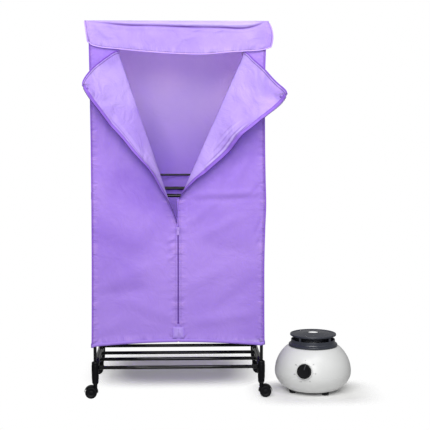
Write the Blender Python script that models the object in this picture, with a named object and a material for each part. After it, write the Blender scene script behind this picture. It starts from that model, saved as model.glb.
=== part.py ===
"""Portable clothes dryer: a zipped fabric wardrobe on a wheeled tube frame, with its loose hot air blower.

Metres, +Z up, front towards -Y. The cabinet stands on four swivel casters and the blower on its own feet,
both on z = 0. The origin is under the middle of the pair.
"""
import math

import bmesh
import bpy
import numpy as np
from mathutils import Matrix, Vector

# General fits
SEAT_GAP = 0.0003
OVERRUN = 0.004
TUBE_SIDES = 10
MERGE = 0.00001
SHARP_DEG = 35.0
SOCKET_SIDES = 16
WHEEL_SIDES = 16
SHELL_SIDES = 32
SHELL_RINGS = 11
RING_SIDES = 24
HOOD_FACETS = 7

# Fabric cover
COVER_WIDTH = 0.700
COVER_DEPTH = 0.457
COVER_TOP_Z = 1.518
CLOTH = 0.0016
HEM_CORNER_Z = 0.214
HEM_BOW = 0.018
SIDE_BILLOW = 0.007
BACK_BILLOW = 0.006
FRONT_BILLOW = 0.003
TOP_SAG = 0.005
FOLD_RIPPLE = 0.002
FRONT_HALF_FOLDS = 6
SIDE_HALF_FOLDS = 5
BACK_HALF_FOLDS = 8
FOLD_PHASE = 2.0

# Door opening: two lapels folded back from the zip
DOOR_HEAD_DROP = 0.132
LEFT_FOOT_Z = 0.700
RIGHT_FOOT_Z = 0.800
LEFT_TOP_X = 0.228
RIGHT_TOP_X = 0.259
DOOR_EDGE_GAP = 0.0012
LAPEL_OPEN_DEG = 153.0
LAPEL_CURL = 0.004
LAPEL_FOOT_SHARE = 0.035
LAPEL_HEAD_GAP = 0.001
PLACKET = 0.012
CREASE_STANDOFF = 0.0001

# Valance over the head of the opening
VALANCE_WIDTH = 0.727
VALANCE_DROP = 0.129
VALANCE_CLOTH = 0.0022
VALANCE_BELLY = 0.011
VALANCE_CURVE_SHARE = 0.75
VALANCE_END_SHARE = 0.35
VALANCE_REACH_SHARES = (0.0, 0.05, 0.17, 0.35, 0.51, 0.67, 0.77, 0.87, 1.0)
VALANCE_DROP_SHARES = (0.667, 0.767, 0.845, 0.930, 0.985, 1.0, 0.955, 0.915, 0.86)

# Zip
ZIP_FOOT_Z = 0.314
ZIP_TAPE_WIDTH = 0.013
ZIP_TAPE = 0.0012
SLIDER_WIDTH = 0.010
SLIDER_LENGTH = 0.015
SLIDER_DEPTH = 0.0042
BRIDGE_WIDTH = 0.0024
BRIDGE_RISE = 0.0040
BRIDGE_WIRE = 0.0014
PULL_LENGTH = 0.024
PULL_WIDTH = 0.0075
PULL_PLATE = 0.0012
PULL_EYE = 0.0040
PULL_EYE_LENGTH = 0.0075
BRIDGE_LENGTH = 0.0100
SLIDER_NOSE_SHARE = 0.65
PATCH_SIZE = 0.046
PATCH_DROP = 0.020

# Tube frame
POST_INSET = 0.012
POST_SETBACK = 0.014
POST_R = 0.0065
TUBE_WALL = 0.001
RAIL_R = 0.0125
BAR_R = 0.0072
MID_RAIL_R = 0.008
THIN_BAR_R = 0.0045
SHELF_Z = 0.1255
MID_SHELF_Z = 0.8255
THIN_BAR_RISE = 0.059
TOP_RAIL_DROP = 0.026
SHELF_BAR_SHARES = (0.365, 0.655)

# Plastic joints of the frame
SOCKET_FOOT_Z = 0.062
SOCKET_TOP_Z = 0.150
SOCKET_R = 0.0150
SOCKET_FOOT_R = 0.0125
SOCKET_FLOOR = 0.004
SOCKET_ROUND = 0.002
JOINT_PLAY = 0.0005
CLAMP_HEIGHT = 0.028
CORNER_DROP = 0.052
CORNER_CHAMFER = 0.002
CORNER_PLUG = 0.014
CORNER_SIDE_PLUG = 0.0026

# Casters
WHEEL_R = 0.024
WHEEL_WIDTH = 0.009
WHEEL_SPACING = 0.022
WHEEL_TREAD_ROUND = 0.003
WHEEL_DISH = 0.002
AXLE_R = 0.0032
AXLE_PLAY = 0.0004
TRAIL = 0.017
WEB_WIDTH = 0.0095
HOOD_GAP = 0.0022
HOOD_WALL = 0.0020
HOOD_WIDTH = 0.034
HOOD_START_DEG = 12.0
HOOD_END_DEG = 178.0
WEB_START_DEG = 35.0
WEB_END_DEG = 150.0
HUB_SHARE = 2.6
HUBCAP_SHARE = 0.42
RIM_SHARE = 0.60
NECK_REACH_SHARE = 0.45
FLANGE_LEDGE = 0.0025
STEM_R = 0.0045
STEM_PLAY = 0.0006
STEM_FLANGE_R = 0.0105
STEM_FLANGE = 0.004
STEM_DEPTH = 0.026

# Blower
BLOWER_CLEARANCE = 0.0533
BLOWER_Y = 0.120
BLOWER_TURN_DEG = -19.6
SHELL_R = 0.1585
BLOWER_X = COVER_WIDTH / 2 + SHELL_R + BLOWER_CLEARANCE
SHELL_WAIST_Z = 0.083
SHELL_CROWN_RISE = 0.144
SHELL_FOOT_FALL = 0.0965
SHELL_FOOT_Z = 0.012
SHELL_MOUTH_Z = 0.189
SHELL_SHOULDER_R = 0.1045
SHELL_SHOULDER_DROP = 0.005
MOUTH_R = 0.093
SHELL_WALL = 0.0028
HOLE_REACH_SHARE = 4.0
BASE_PLAY = 0.0006
BASE_Z = 0.009
BASE_PLATE = 0.004
BASE_LIP = 0.010
BASE_BOSS_R = 0.022
BASE_BOSS_TOP_Z = 0.042
FOOT_RING_R = 0.098
FOOT_R = 0.015
FOOT_COUNT = 4
FOOT_TAPER = 0.002
INTAKE_SLOTS = 16
INTAKE_START_R = 0.040
INTAKE_END_R = 0.078
INTAKE_WIDTH = 0.005
RIM_R = 0.1015
RIM_HEIGHT = 0.011
RIM_ROUND_SHARE = 0.25
COLLAR_R = 0.0915
COLLAR_WALL = 0.004
COLLAR_TOP_Z = 0.217
SKIRT_DEPTH = 0.012
GRILLE_DEPTH = 0.0045
GRILLE_RINGS = (0.030, 0.058)
GRILLE_RING_WIDTH = 0.0035
GRILLE_HUB_R = 0.014
GRILLE_STEP = 0.0006
GRILLE_SPOKES = 12
FACET_PLAY = 0.0005
SPOKE_WIDTH = 0.003
SPOKE_ROOT_SHARE = 0.6
DISC_POSTS = 4
DISC_POST_R = 0.005
DISC_POST_RING_R = 0.0860
DISC_POST_SHIFT_SHARE = 0.72
DISC_R = 0.0955
DISC_EDGE_Z = 0.2375
DISC_RISE = 0.009
DISC_WALL = 0.003
DISC_LIP_RISE = 0.003
DISC_LIP_FALL = 0.004
DISC_LIP_WIDTH = 0.003
DISC_HOLE_R = 0.023

# Inside the blower
MOTOR_R = 0.030
MOTOR_TOP_Z = 0.092
MOTOR_SHAFT_R = 0.004
SHAFT_PLAY = 0.0005
SHAFT_DEPTH = 0.020
FAN_HUB_R = 0.018
FAN_HUB_HEIGHT = 0.022
FAN_R = 0.078
FAN_GAP = 0.002
FAN_BLADES = 7
BLADE_WALL = 0.0018
BLADE_SWEEP_DEG = 34.0
BLADE_LEAN_DEG = 30.0
BLADE_ROOT_SHARE = 0.7
BLADE_EDGE_SHARES = (0.1, 0.9)
HEATER_R = 0.070
HEATER_BORE_R = 0.020
HEATER_RING = 0.005
HEATER_HEIGHT = 0.020
HEATER_FINS = 10
FIN_WALL = 0.0024

# Timer
KNOB_R = 0.0295
KNOB_HEIGHT = 0.016
KNOB_BEVEL = 0.0025
KNOB_Z = 0.112
KNOB_GAP = 0.0008
KNOB_MARK_WIDTH = 0.0030
KNOB_MARK_RISE = 0.0007
KNOB_MARK_DEG = 16.0
KNOB_MARK_START_SHARE = 0.25
KNOB_SHAFT_R = 0.003
KNOB_HOLE_R = 0.006
KNOB_SHAFT_DEPTH = 0.022
TIMER_R = 0.020
TIMER_HEIGHT = 0.028
TIMER_BORE_R = 0.0036
TIMER_CLEARANCE = 0.0022
GLAND_Z = 0.036
GLAND_R = 0.0075
GLAND_HOLE_R = 0.0035
GLAND_FLANGE = 0.003
GLAND_ROUND = 0.001
GLAND_LENGTH = 0.016
GLAND_INNER_R = 0.0050
GLAND_PLAY = 0.0004

# Worked out sizes
HALF_WIDTH = COVER_WIDTH / 2
POST_X = HALF_WIDTH - POST_INSET
POST_FRONT_Y = POST_SETBACK
POST_BACK_Y = COVER_DEPTH - POST_SETBACK
POST_Y = {"front": POST_FRONT_Y, "back": POST_BACK_Y}
SIDES = {"left": -1, "right": 1}
PANEL_TOP_Z = COVER_TOP_Z - CLOTH - SEAT_GAP
DOOR_TOP_Z = COVER_TOP_Z - DOOR_HEAD_DROP
TOP_RAIL_Z = COVER_TOP_Z - TOP_RAIL_DROP
CORNER_BASE_Z = COVER_TOP_Z - CORNER_DROP
PIPE_BORE_R = POST_R + SEAT_GAP
CLAMP_R = POST_INSET - CLOTH - JOINT_PLAY
CORNER_R = CLAMP_R
RIM_Z = SHELL_MOUTH_Z + SEAT_GAP
RIM_TOP_Z = RIM_Z + RIM_HEIGHT
GRILLE_Z = RIM_TOP_Z - GRILLE_DEPTH
COLLAR_BORE_R = COLLAR_R - COLLAR_WALL
ZIP_BACK_Y = -SEAT_GAP
ZIP_FRONT_Y = ZIP_BACK_Y - ZIP_TAPE
DOORS = {"left": (-1, LEFT_TOP_X, LEFT_FOOT_Z), "right": (1, RIGHT_TOP_X, RIGHT_FOOT_Z)}
SLIDER_Z = LEFT_FOOT_Z - SLIDER_LENGTH / 2


def lapel_tip(top_x, foot_z):
    """How far out and forward the free corner of an open lapel stands."""
    rise = DOOR_TOP_Z - foot_z
    crease = math.hypot(top_x, rise)
    turn = math.radians(LAPEL_OPEN_DEG)
    return top_x * (rise / crease) ** 2 * (1 - math.cos(turn)), rise * top_x / crease * math.sin(turn)


LEFT_TIP_X = lapel_tip(LEFT_TOP_X, LEFT_FOOT_Z)[0]
RIGHT_TIP_REACH = lapel_tip(RIGHT_TOP_X, RIGHT_FOOT_Z)[1]
SET_CENTRE_X = (BLOWER_X + SHELL_R - LEFT_TIP_X) / 2
SET_CENTRE_Y = (COVER_DEPTH + BACK_BILLOW - RIGHT_TIP_REACH) / 2


def clear_scene():
    """Removes whatever the scene holds."""
    for old in list(bpy.data.objects):
        bpy.data.objects.remove(old, do_unlink=True)


def material(name, colour, roughness, metallic=0.0):
    """A Principled material with one colour."""
    made = bpy.data.materials.new(name)
    made.use_nodes = True
    shader = made.node_tree.nodes["Principled BSDF"]
    shader.inputs["Base Color"].default_value = (*colour, 1.0)
    shader.inputs["Roughness"].default_value = roughness
    shader.inputs["Metallic"].default_value = metallic
    made.diffuse_color = (*colour, 1.0)
    return made


def frame_at(name, location, parent=None, turn=None):
    """An empty that carries pieces."""
    empty = bpy.data.objects.new(name, None)
    bpy.context.scene.collection.objects.link(empty)
    empty.matrix_basis = Matrix.Translation(Vector(location)) @ (turn or Matrix.Identity(4))
    empty.parent = parent
    return empty


def meshed(name, shape):
    """Turns a bmesh into a mesh that is smooth except at its sharp edges."""
    bmesh.ops.remove_doubles(shape, verts=shape.verts, dist=MERGE)
    bmesh.ops.recalc_face_normals(shape, faces=shape.faces)
    mesh = bpy.data.meshes.new(name)
    shape.to_mesh(mesh)
    shape.free()
    mesh.shade_smooth()
    mesh.set_sharp_from_angle(angle=math.radians(SHARP_DEG))
    return mesh


def place(name, shape, finish, parent, location=(0.0, 0.0, 0.0), turn=None):
    """A named object that its parent carries. The shape is a bmesh, or a mesh that copies share."""
    mesh = meshed(name, shape) if isinstance(shape, bmesh.types.BMesh) else shape
    if not mesh.materials:
        mesh.materials.append(finish)
    made = bpy.data.objects.new(name, mesh)
    bpy.context.scene.collection.objects.link(made)
    made.matrix_basis = Matrix.Translation(Vector(location)) @ (turn or Matrix.Identity(4))
    made.parent = parent
    return made


def turned(profile, segments, ring=False):
    """Revolves a profile of (radius, height) points about Z. A ring's profile closes on itself."""
    shape = bmesh.new()
    turns = [2 * math.pi * k / segments for k in range(segments)]
    circles = []
    for radius, height in profile:
        if radius == 0:
            circles.append([shape.verts.new((0.0, 0.0, height))])
        else:
            spots = [(radius * math.cos(a), radius * math.sin(a), height) for a in turns]
            circles.append([shape.verts.new(spot) for spot in spots])
    pairs = list(zip(circles, circles[1:]))
    if ring:
        pairs.append((circles[-1], circles[0]))
    for low, high in pairs:
        for k in range(segments):
            after = (k + 1) % segments
            corners = [low[k % len(low)], low[after % len(low)], high[after % len(high)], high[k % len(high)]]
            corners = [c for i, c in enumerate(corners) if c not in corners[:i]]
            if len(corners) > 2:
                shape.faces.new(corners)
    return shape


def rod(radius, low, high, segments=TUBE_SIDES):
    """A solid cylinder along Z."""
    return turned([(0.0, low), (radius, low), (radius, high), (0.0, high)], segments)


def extruded(outline, low, high):
    """A flat outline in XY made solid between two heights."""
    shape = bmesh.new()
    lower = [shape.verts.new((x, y, low)) for x, y in outline]
    upper = [shape.verts.new((x, y, high)) for x, y in outline]
    shape.faces.new(lower[::-1])
    shape.faces.new(upper)
    for k, corner in enumerate(lower):
        after = (k + 1) % len(lower)
        shape.faces.new((corner, lower[after], upper[after], upper[k]))
    return shape


def block(low, high):
    """A rectangular solid between two corners."""
    x, y = (low[0], high[0]), (low[1], high[1])
    return extruded([(x[0], y[0]), (x[1], y[0]), (x[1], y[1]), (x[0], y[1])], low[2], high[2])


def moved(shape, matrix):
    """The shape after a move or turn."""
    bmesh.ops.transform(shape, matrix=matrix, verts=shape.verts)
    return shape


def combined(base, steps):
    """The base after unions and cuts, given as pairs of operation and shape."""
    bodies = []
    for k, shape in enumerate([base] + [shape for _, shape in steps]):
        body = bpy.data.objects.new(f"body_{k}", meshed(f"body_{k}", shape))
        bpy.context.scene.collection.objects.link(body)
        bodies.append(body)
    for (operation, _), tool in zip(steps, bodies[1:]):
        change = bodies[0].modifiers.new(operation.lower(), "BOOLEAN")
        change.operation = operation
        change.solver = "EXACT"
        change.object = tool
    result = bmesh.new()
    result.from_object(bodies[0], bpy.context.evaluated_depsgraph_get())
    for body in bodies:
        bpy.data.objects.remove(body, do_unlink=True)
    return result


def sheet(grid, thickness):
    """A cloth solid: a grid of front points, its back set off by the thickness vector, and closed edges."""
    rows, columns, _ = grid.shape
    shape = bmesh.new()
    front = [[shape.verts.new(grid[i, j]) for j in range(columns)] for i in range(rows)]
    back = [[shape.verts.new(grid[i, j] + thickness) for j in range(columns)] for i in range(rows)]
    for i in range(rows - 1):
        for j in range(columns - 1):
            shape.faces.new((front[i][j], front[i][j + 1], front[i + 1][j + 1], front[i + 1][j]))
            shape.faces.new((back[i][j], back[i + 1][j], back[i + 1][j + 1], back[i][j + 1]))
    rim = [(0, j) for j in range(columns)] + [(i, columns - 1) for i in range(1, rows)]
    rim += [(rows - 1, j) for j in range(columns - 2, -1, -1)] + [(i, 0) for i in range(rows - 2, 0, -1)]
    for (i, j), (m, n) in zip(rim, rim[1:] + rim[:1]):
        shape.faces.new((front[i][j], back[i][j], back[m][n], front[m][n]))
    return shape


def spread_turns(count, shift=0.0):
    """The turns about Z of a round pattern, which starts a share of one step on from +X."""
    return [Matrix.Rotation(2 * math.pi * (k + shift) / count, 4, "Z") for k in range(count)]


def facing(direction):
    """The turn that brings +Z onto a direction."""
    return Vector(direction).to_track_quat("Z", "Y").to_matrix().to_4x4()


def pipe(name, start, end, radius, finish, parent):
    """A straight open tube between two points."""
    start, end = Vector(start), Vector(end)
    length = (end - start).length
    bore = radius - TUBE_WALL
    section = [(radius, 0.0), (radius, length), (bore, length), (bore, 0.0)]
    return place(name, turned(section, TUBE_SIDES, ring=True), finish, parent, start, facing(end - start))


def window(share):
    """Rises from 0 at either edge of a panel to 1 in its middle."""
    return np.sin(np.pi * share)


def crease_x(z, top_x, foot_z):
    """Distance of a door's crease from the zip at height z."""
    return np.clip((z - foot_z) / (DOOR_TOP_Z - foot_z), 0.0, 1.0) * top_x


def hem_z(x):
    """Height of the front hem, drawn up a little towards the zip."""
    return HEM_CORNER_Z + HEM_BOW * (1 - (x / HALF_WIDTH) ** 2)


def front_panel(side, top_x, foot_z):
    """One front half, cut back along the door's crease and flat in a placket along its free edge."""
    spread = np.linspace(0.0, 1.0, 8)
    levels = [(share, None) for share in np.linspace(0.0, 1.0, 7)]
    levels += [(1.0, foot_z + (DOOR_TOP_Z - foot_z) * share) for share in np.linspace(0.0, 1.0, 6)[1:]]
    rows = []
    for share, level in levels:
        inner = DOOR_EDGE_GAP + (0.0 if level is None else crease_x(level, top_x, foot_z))
        x = np.append(HALF_WIDTH + (inner + PLACKET - HALF_WIDTH) * spread, inner)
        z = hem_z(x) + (foot_z - hem_z(x)) * share if level is None else np.full_like(x, level)
        rows.append(np.stack([side * x, np.zeros_like(x), z], axis=1))
    grid = np.array(rows)
    height = np.linspace(0.0, 1.0, len(rows))[:, None]
    soft = window(height) * window(np.append(spread, 1.0))[None, :]
    ripple = FOLD_RIPPLE * np.sin(FRONT_HALF_FOLDS * np.pi * height + FOLD_PHASE * side)
    grid[:, :, 1] -= soft * (FRONT_BILLOW + ripple)
    return sheet(grid, np.array((0.0, CLOTH, 0.0)))


def lapel(side, top_x, foot_z):
    """A door laid out closed, relative to the foot of its crease."""
    rise = DOOR_TOP_Z - foot_z
    up = np.linspace(LAPEL_FOOT_SHARE, 1.0 - LAPEL_HEAD_GAP / rise, 9)[:, None]
    across = np.linspace(0.0, 1.0, 7)[None, :]
    x = (up * top_x - SEAT_GAP) * (1 - across)
    z = up * rise + np.zeros_like(x)
    y = window(across) * window(up) * LAPEL_CURL + CREASE_STANDOFF
    return sheet(np.stack([side * x, y, z], axis=2), np.array((0.0, CLOTH, 0.0)))


def side_panel(side):
    """One end of the cover, swelling a little outwards between its seams."""
    y = np.linspace(CLOTH + SEAT_GAP, COVER_DEPTH - CLOTH - SEAT_GAP, 8)
    z = np.linspace(HEM_CORNER_Z, PANEL_TOP_Z, 9)
    yy, zz = np.meshgrid(y, z)
    share_y = (yy - y[0]) / (y[-1] - y[0])
    share_z = (zz - z[0]) / (z[-1] - z[0])
    ripple = FOLD_RIPPLE * np.sin(SIDE_HALF_FOLDS * np.pi * share_y)
    swell = window(share_y) * window(share_z) * (SIDE_BILLOW + ripple)
    return sheet(np.stack([side * (HALF_WIDTH + swell), yy, zz], axis=2), np.array((-side * CLOTH, 0.0, 0.0)))


def back_panel():
    """The back of the cover, with soft upright folds."""
    x = np.linspace(-HALF_WIDTH, HALF_WIDTH, 13)
    z = np.linspace(HEM_CORNER_Z, PANEL_TOP_Z, 9)
    xx, zz = np.meshgrid(x, z)
    share_x = (xx - x[0]) / (x[-1] - x[0])
    share_z = (zz - z[0]) / (z[-1] - z[0])
    ripple = FOLD_RIPPLE * np.sin(BACK_HALF_FOLDS * np.pi * share_x)
    swell = window(share_x) * window(share_z) * (BACK_BILLOW + ripple)
    return sheet(np.stack([xx, COVER_DEPTH + swell, zz], axis=2), np.array((0.0, -CLOTH, 0.0)))


def top_panel():
    """The roof of the cover, lying on the corner joints and sagging between them."""
    x = np.linspace(-HALF_WIDTH, HALF_WIDTH, 9)
    y = np.linspace(0.0, COVER_DEPTH, 7)
    xx, yy = np.meshgrid(x, y)
    sag = TOP_SAG * (window((xx - x[0]) / COVER_WIDTH) * window(yy / COVER_DEPTH)) ** 2
    return sheet(np.stack([xx, yy, COVER_TOP_Z - sag], axis=2), np.array((0.0, 0.0, -CLOTH)))


def head_panel():
    """The strip of the front above the doors, behind the valance."""
    x = np.array([-HALF_WIDTH, HALF_WIDTH])
    z = np.array([DOOR_TOP_Z + SEAT_GAP, PANEL_TOP_Z])
    xx, zz = np.meshgrid(x, z)
    return sheet(np.stack([xx, np.zeros_like(xx), zz], axis=2), np.array((0.0, CLOTH, 0.0)))


def valance_panel():
    """The flap sewn along the top edge. It bellies forward and hangs lowest past its middle."""
    across = np.linspace(0.0, 1.0, 15)
    down = np.linspace(0.0, 1.0, 6)
    drop = np.interp(across, VALANCE_REACH_SHARES, VALANCE_DROP_SHARES) * VALANCE_DROP
    x = np.outer(np.ones_like(down), (across - 0.5) * VALANCE_WIDTH)
    z = -np.outer(down, drop)
    fullness = VALANCE_END_SHARE + (1 - VALANCE_END_SHARE) * window(across)
    belly = np.outer(np.sin(VALANCE_CURVE_SHARE * np.pi * down), fullness)
    y = -SEAT_GAP - VALANCE_CLOTH - VALANCE_BELLY * belly
    return sheet(np.stack([x, y, z], axis=2), np.array((0.0, VALANCE_CLOTH, 0.0)))


def build_cover(parent, finishes):
    """The sewn cover: walls, roof, two lapels that fold back, and a valance."""
    cloth, lining = finishes["cloth"], finishes["lining"]
    for name, (side, top_x, foot_z) in DOORS.items():
        place(f"cover_front_{name}", front_panel(side, top_x, foot_z), cloth, parent)
        place(f"cover_side_{name}", side_panel(side), cloth, parent)
        crease = Vector((side * top_x, 0.0, DOOR_TOP_Z - foot_z)).normalized()
        hinge = frame_at(f"crease_{name}", (side * DOOR_EDGE_GAP, -CREASE_STANDOFF, foot_z), parent)
        opened = Matrix.Rotation(side * math.radians(LAPEL_OPEN_DEG), 4, crease)
        place(f"lapel_{name}", lapel(side, top_x, foot_z), lining, hinge, turn=opened)
    place("cover_back", back_panel(), cloth, parent)
    place("cover_top", top_panel(), cloth, parent)
    place("cover_head", head_panel(), cloth, parent)
    seam = frame_at("valance_seam", (0.0, 0.0, COVER_TOP_Z), parent)
    place("valance", valance_panel(), cloth, seam)


def build_zip(parent, finishes):
    """The closed part of the zip, its slider where the doors part, and the slider's pull."""
    tape, patch = ZIP_TAPE_WIDTH / 2, PATCH_SIZE / 2
    patch_top = ZIP_FOOT_Z - PATCH_DROP
    patch_foot = patch_top - PATCH_SIZE
    outline = [(-patch, patch_foot), (patch, patch_foot), (patch, patch_top), (tape, patch_top)]
    outline += [(tape, LEFT_FOOT_Z), (-tape, LEFT_FOOT_Z), (-tape, patch_top), (-patch, patch_top)]
    upright = Matrix.Rotation(math.radians(90.0), 4, "X")
    chain = extruded(outline, 0.0, ZIP_TAPE)
    place("zip_chain", chain, finishes["zip"], parent, (0.0, ZIP_BACK_Y, 0.0), upright)
    slider = frame_at("slider_track", (0.0, ZIP_FRONT_Y - SEAT_GAP, SLIDER_Z), parent)
    wide, tall = SLIDER_WIDTH / 2, SLIDER_LENGTH / 2
    narrow = wide * SLIDER_NOSE_SHARE
    case_outline = [(-narrow, -tall), (narrow, -tall), (wide, 0.0), (wide, tall), (-wide, tall), (-wide, 0.0)]
    body = extruded(case_outline, 0.0, SLIDER_DEPTH)
    bridge_end = BRIDGE_LENGTH / 2
    inner_end = bridge_end - BRIDGE_WIRE
    top = SLIDER_DEPTH + BRIDGE_RISE
    arch = [(-bridge_end, SLIDER_DEPTH - BRIDGE_WIRE), (-inner_end, SLIDER_DEPTH - BRIDGE_WIRE)]
    arch += [(-inner_end, top - BRIDGE_WIRE), (inner_end, top - BRIDGE_WIRE)]
    arch += [(inner_end, SLIDER_DEPTH - BRIDGE_WIRE), (bridge_end, SLIDER_DEPTH - BRIDGE_WIRE)]
    arch += [(bridge_end, top), (-bridge_end, top)]
    bridge = extruded(arch, -BRIDGE_WIDTH / 2, BRIDGE_WIDTH / 2)
    stand = Matrix(((0, 0, 1, 0), (1, 0, 0, 0), (0, 1, 0, 0), (0, 0, 0, 1)))
    case = combined(body, [("UNION", moved(bridge, stand))])
    place("zip_slider", case, finishes["metal"], slider, turn=upright)
    pin_lift = (SLIDER_DEPTH + top - BRIDGE_WIRE) / 2
    pivot = frame_at("pull_pivot", (0.0, -pin_lift, 0.0), slider)
    half, eye = PULL_WIDTH / 2, PULL_EYE / 2
    pin = PULL_PLATE / 2
    plate = [(-half, pin), (half, pin), (half, -PULL_LENGTH + half), (half / 2, -PULL_LENGTH)]
    plate += [(-half / 2, -PULL_LENGTH), (-half, -PULL_LENGTH + half)]
    hole = block((-eye, -PULL_EYE_LENGTH, -pin * 2), (eye, -pin, pin * 2))
    pull = combined(extruded(plate, -pin, pin), [("DIFFERENCE", hole)])
    place("zip_pull", pull, finishes["metal"], pivot, turn=upright)


def build_frame(parent, finishes):
    """Posts, shelves and top rails, with the plastic joints that hold them."""
    steel, plastic = finishes["steel"], finishes["plastic"]
    floor_z = SOCKET_FOOT_Z + STEM_DEPTH + SOCKET_FLOOR
    post_top = CORNER_BASE_Z + CORNER_PLUG
    stem_bore, stem_top = STEM_R + STEM_PLAY, SOCKET_FOOT_Z + STEM_DEPTH
    socket = meshed("foot_socket", turned([
        (0.0, stem_top), (stem_bore, stem_top), (stem_bore, SOCKET_FOOT_Z),
        (SOCKET_FOOT_R, SOCKET_FOOT_Z), (SOCKET_R, stem_top), (SOCKET_R, SOCKET_TOP_Z - SOCKET_ROUND),
        (SOCKET_R - SOCKET_ROUND, SOCKET_TOP_Z), (PIPE_BORE_R, SOCKET_TOP_Z),
        (PIPE_BORE_R, floor_z), (0.0, floor_z),
    ], SOCKET_SIDES))
    for depth, y in POST_Y.items():
        inward = 1 if depth == "front" else -1
        for name, side in SIDES.items():
            x = side * POST_X
            foot, head = (x, y, floor_z + SEAT_GAP), (x, y, post_top - SEAT_GAP)
            pipe(f"post_{depth}_{name}", foot, head, POST_R, steel, parent)
            place(f"foot_socket_{depth}_{name}", socket, plastic, parent, (x, y, 0.0))
            corner = corner_joint(-side, inward)
            place(f"corner_joint_{depth}_{name}", corner, plastic, parent, (x, y, CORNER_BASE_Z))
        end = POST_X - SOCKET_R - SEAT_GAP
        pipe(f"shelf_bar_{depth}", (-end, y, SHELF_Z), (end, y, SHELF_Z), BAR_R, steel, parent)
        end = POST_X - CLAMP_R - SEAT_GAP
        pipe(f"mid_bar_{depth}", (-end, y, MID_SHELF_Z), (end, y, MID_SHELF_Z), BAR_R, steel, parent)
        end = POST_X - CORNER_R + CORNER_SIDE_PLUG - SEAT_GAP
        pipe(f"top_rail_{depth}", (-end, y, TOP_RAIL_Z), (end, y, TOP_RAIL_Z), POST_R, steel, parent)
    for name, side in SIDES.items():
        x = side * POST_X
        start, end = POST_FRONT_Y + SOCKET_R + SEAT_GAP, POST_BACK_Y - SOCKET_R - SEAT_GAP
        pipe(f"shelf_rail_{name}", (x, start, SHELF_Z), (x, end, SHELF_Z), RAIL_R, steel, parent)
        plug = CORNER_R - CORNER_SIDE_PLUG + SEAT_GAP
        start, end = POST_FRONT_Y + plug, POST_BACK_Y - plug
        pipe(f"top_rail_{name}", (x, start, TOP_RAIL_Z), (x, end, TOP_RAIL_Z), POST_R, steel, parent)
        place(f"mid_rail_{name}", clamped_rail(), steel, parent, (x, POST_FRONT_Y, MID_SHELF_Z))
    for k, share in enumerate(SHELF_BAR_SHARES):
        y = POST_FRONT_Y + (POST_BACK_Y - POST_FRONT_Y) * share
        end = POST_X - RAIL_R - SEAT_GAP
        pipe(f"shelf_bar_inner_{k + 1}", (-end, y, SHELF_Z), (end, y, SHELF_Z), BAR_R, steel, parent)
    end = POST_X - POST_R - SEAT_GAP
    thin_z = MID_SHELF_Z + THIN_BAR_RISE
    pipe("thin_bar", (-end, POST_BACK_Y, thin_z), (end, POST_BACK_Y, thin_z), THIN_BAR_R, steel, parent)
    place("hanging_rod", hanging_rod(), steel, parent, (0.0, COVER_DEPTH / 2, TOP_RAIL_Z))


def corner_joint(inward_x, inward_y):
    """A three way plastic corner: a block with blind bores for the post and for a rail on each inner side."""
    top = COVER_TOP_Z - CLOTH - SEAT_GAP - CORNER_BASE_Z
    edge, cut = CORNER_R, CORNER_R - CORNER_CHAMFER
    outline = [(edge, cut), (cut, edge), (-cut, edge), (-edge, cut)]
    outline += [(-x, -y) for x, y in outline]
    lift = Matrix.Translation((0.0, 0.0, TOP_RAIL_Z - CORNER_BASE_Z))
    start, end = edge - CORNER_SIDE_PLUG, edge + OVERRUN
    return combined(extruded(outline, 0.0, top), [
        ("DIFFERENCE", rod(PIPE_BORE_R, -OVERRUN, CORNER_PLUG)),
        ("DIFFERENCE", moved(rod(PIPE_BORE_R, start, end), lift @ facing((inward_x, 0.0, 0.0)))),
        ("DIFFERENCE", moved(rod(PIPE_BORE_R, start, end), lift @ facing((0.0, inward_y, 0.0)))),
    ])


def clamped_rail():
    """A shelf side rail with a clamp ring round the post at either end. Its bore opens into the rings."""
    span = POST_BACK_Y - POST_FRONT_Y
    far = Matrix.Translation((0.0, span, 0.0))
    half = CLAMP_HEIGHT / 2
    lengthways = facing((0.0, 1.0, 0.0))
    return combined(rod(CLAMP_R, -half, half, SOCKET_SIDES), [
        ("UNION", moved(rod(CLAMP_R, -half, half, SOCKET_SIDES), far)),
        ("UNION", moved(rod(MID_RAIL_R, 0.0, span), lengthways)),
        ("DIFFERENCE", moved(rod(MID_RAIL_R - TUBE_WALL, 0.0, span), lengthways)),
        ("DIFFERENCE", rod(PIPE_BORE_R, -half - OVERRUN, half + OVERRUN)),
        ("DIFFERENCE", moved(rod(PIPE_BORE_R, -half - OVERRUN, half + OVERRUN), far)),
    ])


def hanging_rod():
    """The clothes rod across the top, between the side rails."""
    end = POST_X - POST_R - SEAT_GAP
    section = [(BAR_R, -end), (BAR_R, end), (BAR_R - TUBE_WALL, end), (BAR_R - TUBE_WALL, -end)]
    return moved(turned(section, TUBE_SIDES, ring=True), facing((1.0, 0.0, 0.0)))


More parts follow.
